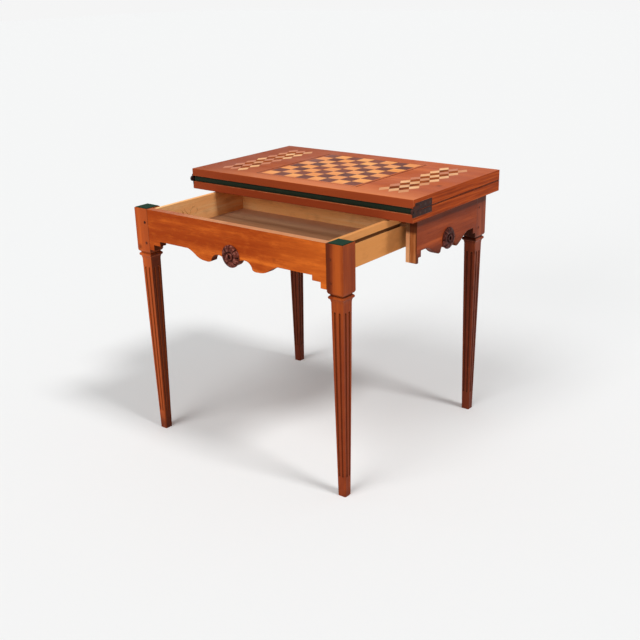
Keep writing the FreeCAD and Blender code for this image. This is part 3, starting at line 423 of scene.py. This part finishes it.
# legs: grain upright, old dark polish and painted shade in the flutes and under the collars, and
# painted shade on the faces that look inward
legLook = {
    "grain": "z", "body": paint(186, 82, 30), "dark": paint(150, 60, 24), "pale": paint(214, 102, 36),
    "deep": paint(66, 20, 8), "worn": paint(208, 112, 56), "gloss": (0.32, 0.48),
    "flame": 0.75, "ring": 0.3, "streak": 0.5, "pore": 0.3, "marks": 0.1,
    "reach": 0.007, "grimeAndShade": 1.8, "grimeAndShadeLeft": 0.4, "wear": 0.7, "size": 0.9,
    "sway": (1.0, 1.0, 9.0), "swayDetail": 3.0, "swayBy": 0.014, "post": (0.545, 0.565),
    "stripeFrom": (0.338, 0.352), "stripeTo": (0.372, 0.362), "stripeShare": 0.7,
    "shade": paint(78, 26, 12), "shadeFrom": (0.300, 0.318), "shadeTo": (0.342, 0.330),
    "shadeShare": 0.75, "shadeRight": (0.0, 0.1, 0.0, 0.36), "paleLeft": (0.0, -0.1, 0.0, 0.26),
    "low": (0.58, 0.44, 0.0, 0.55), "lowTone": paint(136, 56, 28), "innerShade": (-0.5, -0.9, 0.0, 0.8),
    "footDirtAndShade": paint(70, 26, 18), "foot": (0.09, 0.0), "footScale": 30.0,
    "footPatch": (0.3, 0.65, 0.0, 0.8),
}


def legExtra(tree, place, axes, colour):
    look = legLook
    sway = times(tree, longSpeckle(tree, place, look["sway"], look["swayDetail"]), look["swayBy"])
    across = calc(tree, "ADD", axes[0], sway)
    post = remap(tree, axes[2], *look["post"])
    for part, tone in (("stripe", "pale"), ("shade", "shade")):
        rise = remap(tree, across, *look[part + "From"])
        fall = remap(tree, across, *look[part + "To"])
        share = times(tree, rise, fall, post, look[part + "Share"])
        colour = mixColour(tree, share, colour, look[tone])
    colour = mixColour(tree, remap(tree, axes[0], *look["shadeRight"]), colour, look["shade"])
    colour = mixColour(tree, remap(tree, axes[2], *look["low"]), colour, look["lowTone"])
    colour = mixColour(tree, remap(tree, axes[0], *look["paleLeft"]), colour, look["pale"])
    # painted shade on faces that look in towards the middle of the table
    innerShade = remap(tree, lookOut(tree, lookWay(tree), axes), *look["innerShade"])
    colour = mixColour(tree, innerShade, colour, look["footDirtAndShade"])
    patch = remap(tree, speckle(tree, place, look["footScale"]), *look["footPatch"])
    scuff = times(tree, remap(tree, axes[2], *look["foot"]), patch)
    return mixColour(tree, scuff, colour, look["footDirtAndShade"])


dress(makeWood("frontLegWood", legLook, legExtra), "front_left_leg", "front_right_leg")

# the rear pair: a darker, redder copy of the leg wood, as painted shade for legs that stand under the
# table
rearLegLook = dict(
    legLook, body=paint(148, 66, 36), dark=paint(118, 48, 26), pale=paint(168, 80, 44),
    deep=paint(42, 14, 9), grimeAndShadeLeft=1.0, low=(0.58, 0.44, 0.0, 0.75), lowTone=paint(92, 37, 25),
    shadeLeft=(0.0, -0.1, 0.0, 0.25), tuckedShadeFace=(-0.5, -0.9), tuckedShadeHigh=(0.535, 0.552, 0.0, 0.97),
)


def rearLegExtra(tree, place, axes, colour):
    look = rearLegLook
    # more painted shade low down, on the left leg, on forward faces high up and just under the top
    colour = mixColour(tree, remap(tree, axes[2], *look["low"]), colour, look["lowTone"])
    colour = mixColour(tree, remap(tree, axes[0], *look["shadeLeft"]), colour, look["deep"])
    tuckedShadeFace = remap(tree, lookWay(tree)[1], *look["tuckedShadeFace"])
    tuckedShade = times(tree, tuckedShadeFace, remap(tree, axes[2], *look["tuckedShadeHigh"]))
    colour = mixColour(tree, tuckedShade, colour, look["deep"])
    return mixColour(tree, shadowUnderTop(tree, axes), colour, look["deep"])


dress(makeWood("shadedRearLegWood", rearLegLook, rearLegExtra), "rear_left_leg", "rear_right_leg")

# most pegs have been polished over with the post, and a few have turned dark
pegLook = dict(
    legLook, body=paint(150, 66, 32), dark=paint(116, 48, 26), pale=paint(170, 80, 40), wear=0.2,
    shadeRight=(0.0, 0.1, 0.0, 0.7), old=paint(48, 18, 14), oldLeft=(0.0, -0.1),
    oldHigh=(0.60, 0.66, 0.45, 1.0),
)


def pegExtra(tree, place, axes, colour):
    look = pegLook
    colour = mixColour(tree, remap(tree, axes[0], *look["shadeRight"]), colour, look["shade"])
    old = times(tree, remap(tree, axes[0], *look["oldLeft"]), remap(tree, axes[2], *look["oldHigh"]))
    return mixColour(tree, old, colour, look["old"])


dress(makeWood("pegWood", pegLook, pegExtra), "front_pegs", "rear_pegs")

# carved rosettes: dark stain with speckled painted highlights and painted shade for the carving,
# darker on the two sides
rosetteLook = {
    "grain": "z", "body": paint(98, 44, 34), "dark": paint(70, 28, 23), "pale": paint(124, 61, 47),
    "deep": paint(30, 11, 11), "worn": paint(144, 78, 62), "gloss": (0.34, 0.5),
    "flame": 0.3, "ring": 0.1, "streak": 0.25, "pore": 0.2, "marks": 0.0,
    "reach": 0.009, "grimeAndShade": 1.0, "wear": 0.55, "edge": 0.0012,
    "handScale": 120.0, "handDetail": 3.0,
    "rubAndHighlight": paint(158, 94, 82), "rubAndHighlightSpan": (0.50, 0.64, 0.0, 0.75),
    "cut": paint(52, 18, 14), "cutSpan": (0.48, 0.36, 0.0, 0.7),
    "sideTone": paint(42, 17, 20), "sideSpan": (0.1, 0.3, 0.0, 0.45),
}


def rosetteExtra(tree, place, axes, colour):
    look = rosetteLook
    hand = speckle(tree, place, look["handScale"], look["handDetail"])
    # painted highlights and painted shade in speckles, standing for the relief of the carving
    colour = mixColour(tree, remap(tree, hand, *look["rubAndHighlightSpan"]), colour, look["rubAndHighlight"])
    colour = mixColour(tree, remap(tree, hand, *look["cutSpan"]), colour, look["cut"])
    side = remap(tree, absolute(tree, axes[0]), *look["sideSpan"])
    return mixColour(tree, side, colour, look["sideTone"])


rosetteWood = makeWood("rosetteWood", rosetteLook, rosetteExtra)
dress(rosetteWood, "front_rosette", "left_rosette", "right_rosette")
print("legs and rosettes finished")

# the two leaves: grain along the long side, with streaked end faces
leafLook = {
    "grain": "x", "body": paint(202, 102, 50), "dark": paint(178, 82, 38),
    "pale": paint(218, 120, 64), "deep": paint(58, 24, 18), "worn": paint(214, 132, 92),
    "gloss": (0.34, 0.5), "flame": 0.45, "ring": 0.2, "streak": 0.35, "pore": 0.3, "marks": 0.07,
    "edge": 0.0024, "wear": 0.85, "shine": 0.022,
    "left": paint(140, 62, 30), "leftSpan": (0.1, -0.34, 0.0, 0.85),
    "right": paint(168, 78, 42), "rightSpan": (0.16, 0.34, 0.0, 0.6),
    "fore": paint(226, 136, 84), "foreSpan": (0.0, -0.08, 0.0, 0.6), "foreFace": (0.6, 0.9),
    "foreRight": (-0.36, -0.05, 0.1, 1.0),
    "front": paint(150, 64, 34), "frontFace": (-0.6, -0.9, 0.0, 0.75),
    "endAt": 0.3925, "endBody": paint(168, 70, 26), "endLine": paint(134, 52, 20),
    "endPale": paint(196, 98, 40), "endGrain": (30.0, 7.0, 190.0),
    "endLineSpan": (0.34, 0.58), "endPaleSpan": (0.56, 0.72, 0.0, 0.6),
    "joint": 0.7195, "jointSpan": (0.0028, 0.0014, 0.0, 0.9), "jointFace": (0.7, 0.4),
    "crack": paint(66, 20, 8),
}


def leafExtra(tree, place, axes, colour):
    look = leafLook
    facing = lookWay(tree)
    colour = mixColour(tree, remap(tree, axes[0], *look["leftSpan"]), colour, look["left"])
    colour = mixColour(tree, remap(tree, axes[0], *look["rightSpan"]), colour, look["right"])
    near = remap(tree, axes[1], *look["foreSpan"])
    upward = remap(tree, facing[2], *look["foreFace"])
    fore = times(tree, near, upward, remap(tree, axes[0], *look["foreRight"]))
    colour = mixColour(tree, fore, colour, look["fore"])
    colour = mixColour(tree, remap(tree, facing[1], *look["frontFace"]), colour, look["front"])
    lines = longSpeckle(tree, place, look["endGrain"])
    end = mixColour(tree, remap(tree, lines, *look["endLineSpan"]), look["endLine"], look["endBody"])
    end = mixColour(tree, remap(tree, lines, *look["endPaleSpan"]), end, look["endPale"])
    atEnd = calc(tree, "GREATER_THAN", absolute(tree, axes[0]), look["endAt"])
    return mixColour(tree, atEnd, colour, end)


# the dark line where the two leaves meet
def leafJoint(tree, place, axes, colour):
    look = leafLook
    upright = remap(tree, absolute(tree, lookWay(tree)[2]), *look["jointFace"])
    away = absolute(tree, calc(tree, "SUBTRACT", axes[2], look["joint"]))
    line = times(tree, remap(tree, away, *look["jointSpan"]), upright)
    return mixColour(tree, line, colour, look["crack"])


dress(makeWood("upperLeafWood", leafLook, leafExtra, leafJoint), "upper_leaf")
lowerLeafLook = dict(leafLook, body=paint(164, 70, 34), dark=paint(136, 52, 24),
                     pale=paint(188, 90, 46))
dress(makeWood("lowerLeafWood", lowerLeafLook, leafExtra, leafJoint), "lower_leaf")

# drawer: pale unpolished boards with handling stains and pen marks inside, and painted shade in the
# grooves outside
drawerLook = {
    "grain": "y", "body": paint(255, 203, 140), "dark": paint(250, 180, 112),
    "pale": paint(255, 220, 166), "deep": paint(120, 66, 34), "worn": paint(240, 196, 146),
    "gloss": (0.6, 0.78), "flame": 0.5, "ring": 0.35, "streak": 0.4, "pore": 0.3, "marks": 0.12,
    "markScale": 22.0, "shine": 0.06, "grimeAndShade": 0.5, "wear": 0.35, "bump": 0.2,
    "right": paint(212, 138, 74), "rightSpan": (0.25, 0.30, 0.0, 0.85),
    "stain": paint(168, 104, 58), "stainGrain": (10.0, 9.0, 22.0),
    "stainSpan": (0.54, 0.70, 0.0, 0.35),
    "ink": paint(136, 76, 36), "inkAt": (-0.305, -0.205, 0.652), "inkSpread": (6.0, 26.0, 52.0),
    "inkScale": 40.0, "inkDetail": 1.0, "inkMiddle": 0.5, "inkLine": (0.020, 0.008),
    "inkReach": (1.0, 0.75, 0.0, 0.6),
    "shadeTone": paint(58, 28, 13), "grooveIn": (0.3088, 0.3142), "grooveHigh": (0.6575, 0.6675),
    "grooveShare": 0.85,
}


def drawerExtra(tree, place, axes, colour):
    look = drawerLook
    patch = remap(tree, longSpeckle(tree, place, look["stainGrain"]), *look["stainSpan"])
    colour = mixColour(tree, remap(tree, axes[0], *look["rightSpan"]), colour, look["right"])
    return mixColour(tree, patch, colour, look["stain"])


def drawerSideExtra(tree, place, axes, colour):
    look = drawerLook
    colour = drawerExtra(tree, place, axes, colour)
    inkWires = {0: place, 1: look["inkAt"]}
    away = put(tree, "ShaderNodeVectorMath", inkWires, operation="SUBTRACT").outputs[0]
    spread = stretch(tree, away, look["inkSpread"])
    far = put(tree, "ShaderNodeVectorMath", {0: spread}, operation="LENGTH").outputs[1]
    curl = speckle(tree, place, look["inkScale"], look["inkDetail"])
    fromLine = absolute(tree, calc(tree, "SUBTRACT", curl, look["inkMiddle"]))
    pen = remap(tree, fromLine, *look["inkLine"])
    ink = times(tree, pen, remap(tree, far, *look["inkReach"]))
    colour = mixColour(tree, ink, colour, look["ink"])
    # painted shade in the grooves on the outer faces
    deep = between(tree, absolute(tree, axes[0]), *look["grooveIn"])
    high = between(tree, axes[2], *look["grooveHigh"])
    return mixColour(tree, times(tree, deep, high, look["grooveShare"]), colour, look["shadeTone"])


drawerSideWood = makeWood("drawerSideWood", drawerLook, drawerSideExtra)
dress(drawerSideWood, "drawer_left_side", "drawer_right_side")
backLook = dict(drawerLook, grain="x", body=paint(255, 200, 134), dark=paint(248, 180, 110),
                pale=paint(255, 214, 158))
dress(makeWood("drawerBackWood", backLook, drawerExtra), "drawer_back")

# the drawer floor: painted shade darkens the front part, and painted light brightens the back
floorLook = dict(
    drawerLook, grain="x", body=paint(202, 152, 114), dark=paint(170, 120, 86),
    pale=paint(218, 170, 132), deep=paint(84, 50, 34), ring=0.45,
    near=paint(116, 78, 53), nearShadeSpan=(-0.045, -0.095, 0.0, 0.62),
    far=paint(244, 196, 154), farLightSpan=(-0.07, -0.015, 0.0, 0.85),
)


def floorExtra(tree, place, axes, colour):
    look = floorLook
    colour = drawerExtra(tree, place, axes, colour)
    colour = mixColour(tree, remap(tree, axes[1], *look["nearShadeSpan"]), colour, look["near"])
    return mixColour(tree, remap(tree, axes[1], *look["farLightSpan"]), colour, look["far"])


dress(makeWood("drawerFloorWood", floorLook, floorExtra), "drawer_floor")

# guides and runners: plain wood, pale on the front ends, with painted shadow high on the front ends
# and painted shade on the inner faces
guideLook = dict(
    drawerLook, body=paint(214, 150, 92), dark=paint(182, 118, 68), pale=paint(228, 172, 116),
    endTone=paint(238, 172, 120), endFace=(-0.5, -0.9), endShare=0.85, innerShade=(-0.5, -0.9, 0.0, 0.8),
)


def guideExtra(tree, place, axes, colour):
    look = guideLook
    facing = lookWay(tree)
    end = remap(tree, facing[1], *look["endFace"])
    colour = mixColour(tree, times(tree, end, look["endShare"]), colour, look["endTone"])
    # painted shadow high on the front ends, under the leaf
    colour = mixColour(tree, times(tree, end, shadowHighOnEnd(tree, axes)), colour, look["shadeTone"])
    # painted shade on the inner faces
    innerShade = remap(tree, lookOut(tree, facing, axes), *look["innerShade"])
    return mixColour(tree, innerShade, colour, look["shadeTone"])


guideWood = makeWood("guideWood", guideLook, guideExtra)
dress(guideWood, "left_guide", "right_guide", "left_runner", "right_runner")
dress(makeWood("battenWood", dict(guideLook, grain="x"), drawerExtra), "stop_batten")
print("leaves and drawer finished")

# chess field: every square has its own tone, and light and dark squares have crossed grain
fieldLook = {"corner": (-0.168, -0.034), "square": (0.042, 0.042)}


def cellNoise(tree, axes, start, step):
    wires = {}
    for i, (low, wide) in enumerate(zip(start, step)):
        off = calc(tree, "SUBTRACT", axes[i], low)
        wires[i] = calc(tree, "FLOOR", calc(tree, "DIVIDE", off, wide))
    cell = put(tree, "ShaderNodeCombineXYZ", wires).outputs[0]
    return put(tree, "ShaderNodeTexWhiteNoise", {"Vector": cell}).outputs


lightSquareLook = {
    "grain": "x", "body": paint(245, 156, 66), "dark": paint(226, 132, 48),
    "pale": paint(253, 182, 92), "deep": paint(120, 62, 30), "worn": paint(250, 200, 140),
    "gloss": (0.32, 0.46), "flame": 0.5, "ring": 0.1, "streak": 0.4, "pore": 0.35, "marks": 0.05,
    "wear": 0.1, "grimeAndShade": 0.2, "edge": 0.0006, "size": 1.6,
    "warm": paint(226, 138, 70), "warmShare": 0.7, "palePick": (0.6, 1.0, 0.0, 0.35),
}


def lightSquareExtra(tree, place, axes, colour):
    look = lightSquareLook
    tone, draws = cellNoise(tree, axes, fieldLook["corner"], fieldLook["square"])
    colour = mixColour(tree, times(tree, tone, look["warmShare"]), colour, look["warm"])
    second = put(tree, "ShaderNodeSeparateColor", {0: draws}).outputs[1]
    return mixColour(tree, remap(tree, second, *look["palePick"]), colour, look["pale"])


darkSquareLook = {
    "grain": "y", "body": paint(108, 49, 37), "dark": paint(84, 35, 26), "pale": paint(130, 66, 48),
    "deep": paint(50, 20, 18), "worn": paint(150, 90, 76), "gloss": (0.32, 0.46),
    "flame": 0.4, "ring": 0.1, "streak": 0.4, "pore": 0.35, "marks": 0.0, "wear": 0.1, "grimeAndShade": 0.2,
    "edge": 0.0006, "size": 1.6, "shine": 0.03, "warm": paint(130, 62, 40), "warmShare": 0.8,
}


def darkSquareExtra(tree, place, axes, colour):
    look = darkSquareLook
    tone = cellNoise(tree, axes, fieldLook["corner"], fieldLook["square"])[0]
    return mixColour(tree, times(tree, tone, look["warmShare"]), colour, look["warm"])


dress(makeWood("lightSquares", lightSquareLook, lightSquareExtra), "chess_squares_light")
dress(makeWood("darkSquares", darkSquareLook, darkSquareExtra), "chess_squares_dark")

stringLook = dict(darkSquareLook, grain="x", body=paint(44, 20, 17), dark=paint(34, 14, 12),
                  pale=paint(58, 28, 24), wear=0.0, shine=0.0)
dress(makeWood("stringVeneer", stringLook), "stringing")

# lozenge bands: cream, tan and pink veneers set among dark ones
lozengeLook = {
    "grain": "x", "body": paint(242, 186, 128), "dark": paint(228, 164, 104),
    "pale": paint(248, 204, 152), "deep": paint(120, 66, 44), "worn": paint(252, 226, 196),
    "gloss": (0.32, 0.46), "flame": 0.5, "ring": 0.1, "streak": 0.35, "pore": 0.3, "marks": 0.0,
    "wear": 0.1, "grimeAndShade": 0.2, "edge": 0.0006, "size": 1.8,
    "centre": (0.284, 0.134), "step": (0.0305, 0.051), "sideStep": 9.0,
    "tan": paint(200, 124, 70), "tanPick": (0.22, 0.32, 0.0, 0.85),
    "rose": paint(190, 105, 62), "rosePick": (0.46, 0.60, 0.0, 0.85),
}


def lozengeExtra(tree, place, axes, colour):
    look = lozengeLook
    wires = {2: times(tree, calc(tree, "SIGN", axes[0]), look["sideStep"])}
    for i, along in enumerate((absolute(tree, axes[0]), axes[1])):
        off = calc(tree, "SUBTRACT", along, look["centre"][i])
        wires[i] = calc(tree, "ROUND", calc(tree, "DIVIDE", off, look["step"][i]))
    cell = put(tree, "ShaderNodeCombineXYZ", wires).outputs[0]
    pick = put(tree, "ShaderNodeTexWhiteNoise", {"Vector": cell}).outputs[0]
    colour = mixColour(tree, remap(tree, pick, *look["tanPick"]), colour, look["tan"])
    return mixColour(tree, remap(tree, pick, *look["rosePick"]), colour, look["rose"])


dress(makeWood("paleLozenges", lozengeLook, lozengeExtra), "lozenges_light")

darkLozengeLook = dict(
    darkSquareLook, grain="x", body=paint(166, 88, 52), dark=paint(144, 71, 41),
    pale=paint(180, 100, 62), shine=0.0, ebony=paint(124, 61, 39), ebonyPick=(0.6, 0.8, 0.0, 0.9),
    cellsBefore=8, sideShift=0.5,
)


def darkLozengeExtra(tree, place, axes, colour):
    look = darkLozengeLook
    (midX, midY), (stepX, stepY) = lozengeLook["centre"], lozengeLook["step"]
    before = look["cellsBefore"]
    start = (midX - before * stepX - look["sideShift"], midY - before * stepY)
    tone = cellNoise(tree, axes, start, lozengeLook["step"])[0]
    return mixColour(tree, remap(tree, tone, *look["ebonyPick"]), colour, look["ebony"])


dress(makeWood("darkLozenges", darkLozengeLook, darkLozengeExtra), "lozenges_dark")
print("inlay finished")

# iron hinges with a brown skin of old rust, and dark screws
ironLook = {
    "body": paint(50, 31, 28), "rust": paint(74, 42, 34), "bright": paint(100, 76, 66),
    "rough": (0.5, 0.74), "shine": 0.12, "metal": 0.25, "cloudScale": 60.0, "cloudDetail": 5.0,
    "fineScale": 420.0, "fineDetail": 3.0, "rustSpan": (0.46, 0.66), "roughSpan": (0.35, 0.65),
    "edge": 0.0008, "rubAndHighlightSpan": (0.35, 0.6, 0.0, 0.6), "bump": 0.25, "bumpDepth": 0.0004,
}
screwLook = dict(ironLook, body=paint(54, 38, 34), rust=paint(78, 48, 38), bright=paint(110, 92, 84),
                 rough=(0.4, 0.6), shine=0.2, metal=0.5)


def makeIron(name, look):
    material, tree, shader = startMaterial(name)
    place = objectPlace(tree)
    cloud = speckle(tree, place, look["cloudScale"], look["cloudDetail"])
    fine = speckle(tree, place, look["fineScale"], look["fineDetail"])
    colour = mixColour(tree, remap(tree, cloud, *look["rustSpan"]), look["body"], look["rust"])
    arris = useGroup(tree, arrisGroup, {"Width": look["edge"]})
    rubAndHighlight = times(tree, arris["Mask"], remap(tree, fine, *look["rubAndHighlightSpan"]))
    colour = mixColour(tree, rubAndHighlight, colour, look["bright"])
    roughness = remap(tree, cloud, *look["roughSpan"], *look["rough"])
    bumpWires = {"Strength": look["bump"], "Distance": look["bumpDepth"], "Height": fine,
                 "Normal": arris["Normal"]}
    bump = put(tree, "ShaderNodeBump", bumpWires).outputs[0]
    finishMaterial(tree, shader, {"Base Color": colour, "Roughness": roughness, "Normal": bump},
                   {"Metallic": look["metal"], "Specular IOR Level": look["shine"]})
    return material


dress(makeIron("hingeIron", ironLook), "left_lower_hinge", "right_lower_hinge", "left_upper_hinge",
      "right_upper_hinge", "hinge_pins")
dress(makeIron("screwSteel", screwLook), "lower_hinge_screws", "upper_hinge_screws", "stop_screws")
print("ironwork finished")

# green baize: short wool nap, with paler rubbed patches
baizeLook = {
    "body": paint(20, 50, 35), "shade": paint(11, 31, 22), "rubbed": paint(40, 72, 52),
    "nap": 1500.0, "napDetail": 3.0, "napRough": 0.7, "napSpan": (0.34, 0.66),
    "lint": (260.0, 900.0, 260.0), "lintDetail": 2.0, "lintHeight": 0.5, "patch": 26.0,
    "rubPatch": (0.5, 0.72), "rubLint": (0.4, 0.65, 0.0, 0.55), "rough": (0.3, 0.7, 0.86, 0.97),
    "bump": 0.6, "bumpDepth": 0.0005, "shine": 0.1, "sheen": 0.12, "sheenRough": 0.5,
    "sheenTint": paint(120, 170, 140),
}


def makeBaize(name, look):
    material, tree, shader = startMaterial(name)
    place = objectPlace(tree)
    nap = speckle(tree, place, look["nap"], look["napDetail"], look["napRough"])
    lint = longSpeckle(tree, place, look["lint"], look["lintDetail"])
    patch = speckle(tree, place, look["patch"])
    colour = mixColour(tree, remap(tree, nap, *look["napSpan"]), look["shade"], look["body"])
    rubAndHighlight = times(tree, remap(tree, patch, *look["rubPatch"]), remap(tree, lint, *look["rubLint"]))
    colour = mixColour(tree, rubAndHighlight, colour, look["rubbed"])
    height = calc(tree, "ADD", nap, times(tree, lint, look["lintHeight"]))
    bumpWires = {"Strength": look["bump"], "Distance": look["bumpDepth"], "Height": height}
    bump = put(tree, "ShaderNodeBump", bumpWires).outputs[0]
    roughness = remap(tree, patch, *look["rough"])
    finishMaterial(tree, shader, {"Base Color": colour, "Roughness": roughness, "Normal": bump},
                   {"Specular IOR Level": look["shine"], "Sheen Weight": look["sheen"],
                    "Sheen Roughness": look["sheenRough"], "Sheen Tint": look["sheenTint"]})
    return material


baize = makeBaize("greenBaize", baizeLook)
foldBaize = makeBaize("foldBaize", dict(baizeLook, body=paint(36, 46, 33), shade=paint(20, 27, 19),
                                        rubbed=paint(52, 64, 46)))


def finishSheet(name, bm, material, thick):
    mesh = bpy.data.meshes.new(name)
    bm.normal_update()
    bm.to_mesh(mesh)
    bm.free()
    for face in mesh.polygons:
        face.use_smooth = True
    mesh.materials.append(material)
    piece = bpy.data.objects.new(name, mesh)
    bpy.context.scene.collection.objects.link(piece)
    body = piece.modifiers.new("thickness", "SOLIDIFY")
    body.thickness = thick
    body.offset = 0.0
    body.use_even_offset = True
    return piece


# baize laid in the recess of each leaf and on the two front posts, with edges cut by hand
liningLook = {
    "thick": 0.0010, "inset": 0.0006, "across": 110, "deep": 64,
    "ripple": 0.00008, "rippleScale": 90.0, "cut": 0.0003, "cutScale": 55.0, "cutReach": 1e-6,
}
padLook = dict(liningLook, thick=0.0012, inset=0.0004, across=30, deep=30, ripple=0.00015)


def laySheet(name, node, body, look, faceUp):
    low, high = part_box(node)
    wide = high.x - low.x - 2 * look["inset"]
    deep = high.y - low.y - 2 * look["inset"]
    mid = (low + high) / 2
    bm = bmesh.new()
    bmesh.ops.create_grid(bm, x_segments=look["across"], y_segments=look["deep"], size=0.5)
    bmesh.ops.scale(bm, vec=(wide, deep, 1.0), verts=bm.verts)
    bmesh.ops.translate(bm, vec=mid, verts=bm.verts)
    for vert in bm.verts:
        vert.co.z += look["ripple"] * noise.noise(vert.co * look["rippleScale"])
        edge = min(wide / 2 - abs(vert.co.x - mid.x), deep / 2 - abs(vert.co.y - mid.y))
        if edge < look["cutReach"]:
            wander = noise.noise(vert.co * look["cutScale"]) * look["cut"]
            vert.co.x -= math.copysign(abs(wander), vert.co.x - mid.x)
            vert.co.y -= math.copysign(abs(wander), vert.co.y - mid.y)
    if not faceUp:
        bmesh.ops.reverse_faces(bm, faces=bm.faces)
    piece = finishSheet(name, bm, baize, look["thick"])
    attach(piece, body)
    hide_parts(node)


laySheet("lowerBaize", "lower_lining", "carcass", liningLook, True)
laySheet("upperBaize", "upper_lining", "playing_leaf", liningLook, False)
laySheet("leftPostBaize", "left_post_pad", "front_frame", padLook, True)
laySheet("rightPostBaize", "right_post_pad", "front_frame", padLook, True)

# the fold of baize along the hinge edge, glued in both rebates and bowed out at the front
foldLook = {
    "thick": 0.0009, "inset": 0.0006, "bow": 0.0050, "along": 160, "round": 22,
    "sag": 0.00025, "sagAlong": 22.0, "sagRound": 0.6, "sagSlice": 3.0,
}


def makeFold():
    low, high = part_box("fold_strip")
    look = foldLook
    half = (high.x - low.x) / 2 - look["inset"]
    midZ = (low.z + high.z) / 2
    tall = (high.z - low.z) / 2 - look["inset"]
    back = high.y - look["inset"]
    bow = look["bow"]
    bm = bmesh.new()
    bmesh.ops.create_grid(bm, x_segments=look["along"], y_segments=look["round"], size=0.5)
    for vert in bm.verts:
        turn = vert.co.y * math.pi
        x = vert.co.x * 2 * half
        at = Vector((x * look["sagAlong"], turn * look["sagRound"], look["sagSlice"]))
        sag = look["sag"] * noise.noise(at)
        vert.co = Vector((x, back - (bow + sag) * math.cos(turn), midZ + tall * math.sin(turn)))
    bmesh.ops.recalc_face_normals(bm, faces=bm.faces)
    piece = finishSheet("foldBaize", bm, foldBaize, look["thick"])
    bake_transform(piece)
    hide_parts("fold_strip")


makeFold()
print("baize laid")

# floor, light and camera
floorStage = {"size": 60.0, "cells": 4, "tone": 0.845, "cool": 1.008, "rough": 0.9, "shine": 0.0}
worldLook = {"light": 0.35, "backdrop": 0.913}
lampLooks = {
    "frontLight": {"source": (-0.08, -1.0, 1.5), "power": 1.1, "spread": 30.0},
    "rightLight": {"source": (1.0, 0.0, 1.42), "power": 1.42, "spread": 13.0},
    "lowLight": {"source": (-0.05, -1.0, 0.36), "power": 0.68, "spread": 24.0},
}


def makeFloor():
    look = floorStage
    bm = bmesh.new()
    cells = look["cells"]
    bmesh.ops.create_grid(bm, x_segments=cells, y_segments=cells, size=look["size"] / 2)
    mesh = bpy.data.meshes.new("floor")
    bm.to_mesh(mesh)
    bm.free()
    floor = bpy.data.objects.new("floor", mesh)
    bpy.context.scene.collection.objects.link(floor)
    material, tree, shader = startMaterial("paleFloor")
    cool = look["tone"] * look["cool"]
    finishMaterial(tree, shader, {}, {
        "Base Color": (look["tone"], cool, cool, 1.0), "Roughness": look["rough"],
        "Specular IOR Level": look["shine"]})
    mesh.materials.append(material)


def addSun(name, look):
    lamp = bpy.data.lights.new(name, "SUN")
    lamp.energy = look["power"]
    lamp.angle = math.radians(look["spread"])
    sun = bpy.data.objects.new(name, lamp)
    sun.rotation_mode = "QUATERNION"
    sun.rotation_quaternion = Vector(look["source"]).to_track_quat("Z", "Y")
    bpy.context.scene.collection.objects.link(sun)


def lightWorld():
    world = bpy.data.worlds.new("studio")
    bpy.context.scene.world = world
    world.use_nodes = True
    tree = world.node_tree
    tree.nodes.clear()
    light = put(tree, "ShaderNodeBackground", {0: (1.0, 1.0, 1.0, 1.0), 1: worldLook["light"]})
    tone = worldLook["backdrop"]
    seen = put(tree, "ShaderNodeBackground", {0: (tone, tone, tone, 1.0), 1: 1.0})
    path = put(tree, "ShaderNodeLightPath").outputs
    mirrored = calc(tree, "MAXIMUM", path["Is Glossy Ray"], path["Is Transmission Ray"])
    plain = calc(tree, "MAXIMUM", path["Is Camera Ray"], mirrored)
    both = put(tree, "ShaderNodeMixShader", {0: plain, 1: light.outputs[0], 2: seen.outputs[0]})
    result = put(tree, "ShaderNodeOutputWorld")
    tree.links.new(both.outputs[0], result.inputs[0])


makeFloor()
for lampName, lampLook in lampLooks.items():
    addSun(lampName, lampLook)
lightWorld()

cameraLook = {
    "place": (1.6203, -2.0184, 1.2797), "yaw": 38.601, "pitch": 20.399, "roll": -1.408,
    "lens": 51.865, "sensor": 36.0,
}


def makeCamera():
    yaw, pitch, roll = (math.radians(cameraLook[k]) for k in ("yaw", "pitch", "roll"))
    level = math.cos(pitch)
    ahead = Vector((-math.sin(yaw) * level, math.cos(yaw) * level, -math.sin(pitch)))
    right = Vector((math.cos(yaw), math.sin(yaw), 0.0))
    above = right.cross(ahead)
    sideways = right * math.cos(roll) + above * math.sin(roll)
    upward = above * math.cos(roll) - right * math.sin(roll)
    data = bpy.data.cameras.new("photoCamera")
    data.sensor_width = cameraLook["sensor"]
    data.lens = cameraLook["lens"]
    camera = bpy.data.objects.new("photoCamera", data)
    turn = Matrix((sideways, upward, -ahead)).transposed().to_4x4()
    camera.matrix_world = Matrix.Translation(cameraLook["place"]) @ turn
    bpy.context.scene.collection.objects.link(camera)
    bpy.context.scene.camera = camera


makeCamera()
bpy.context.scene.view_settings.view_transform = "Standard"
print("floor, light and camera set")
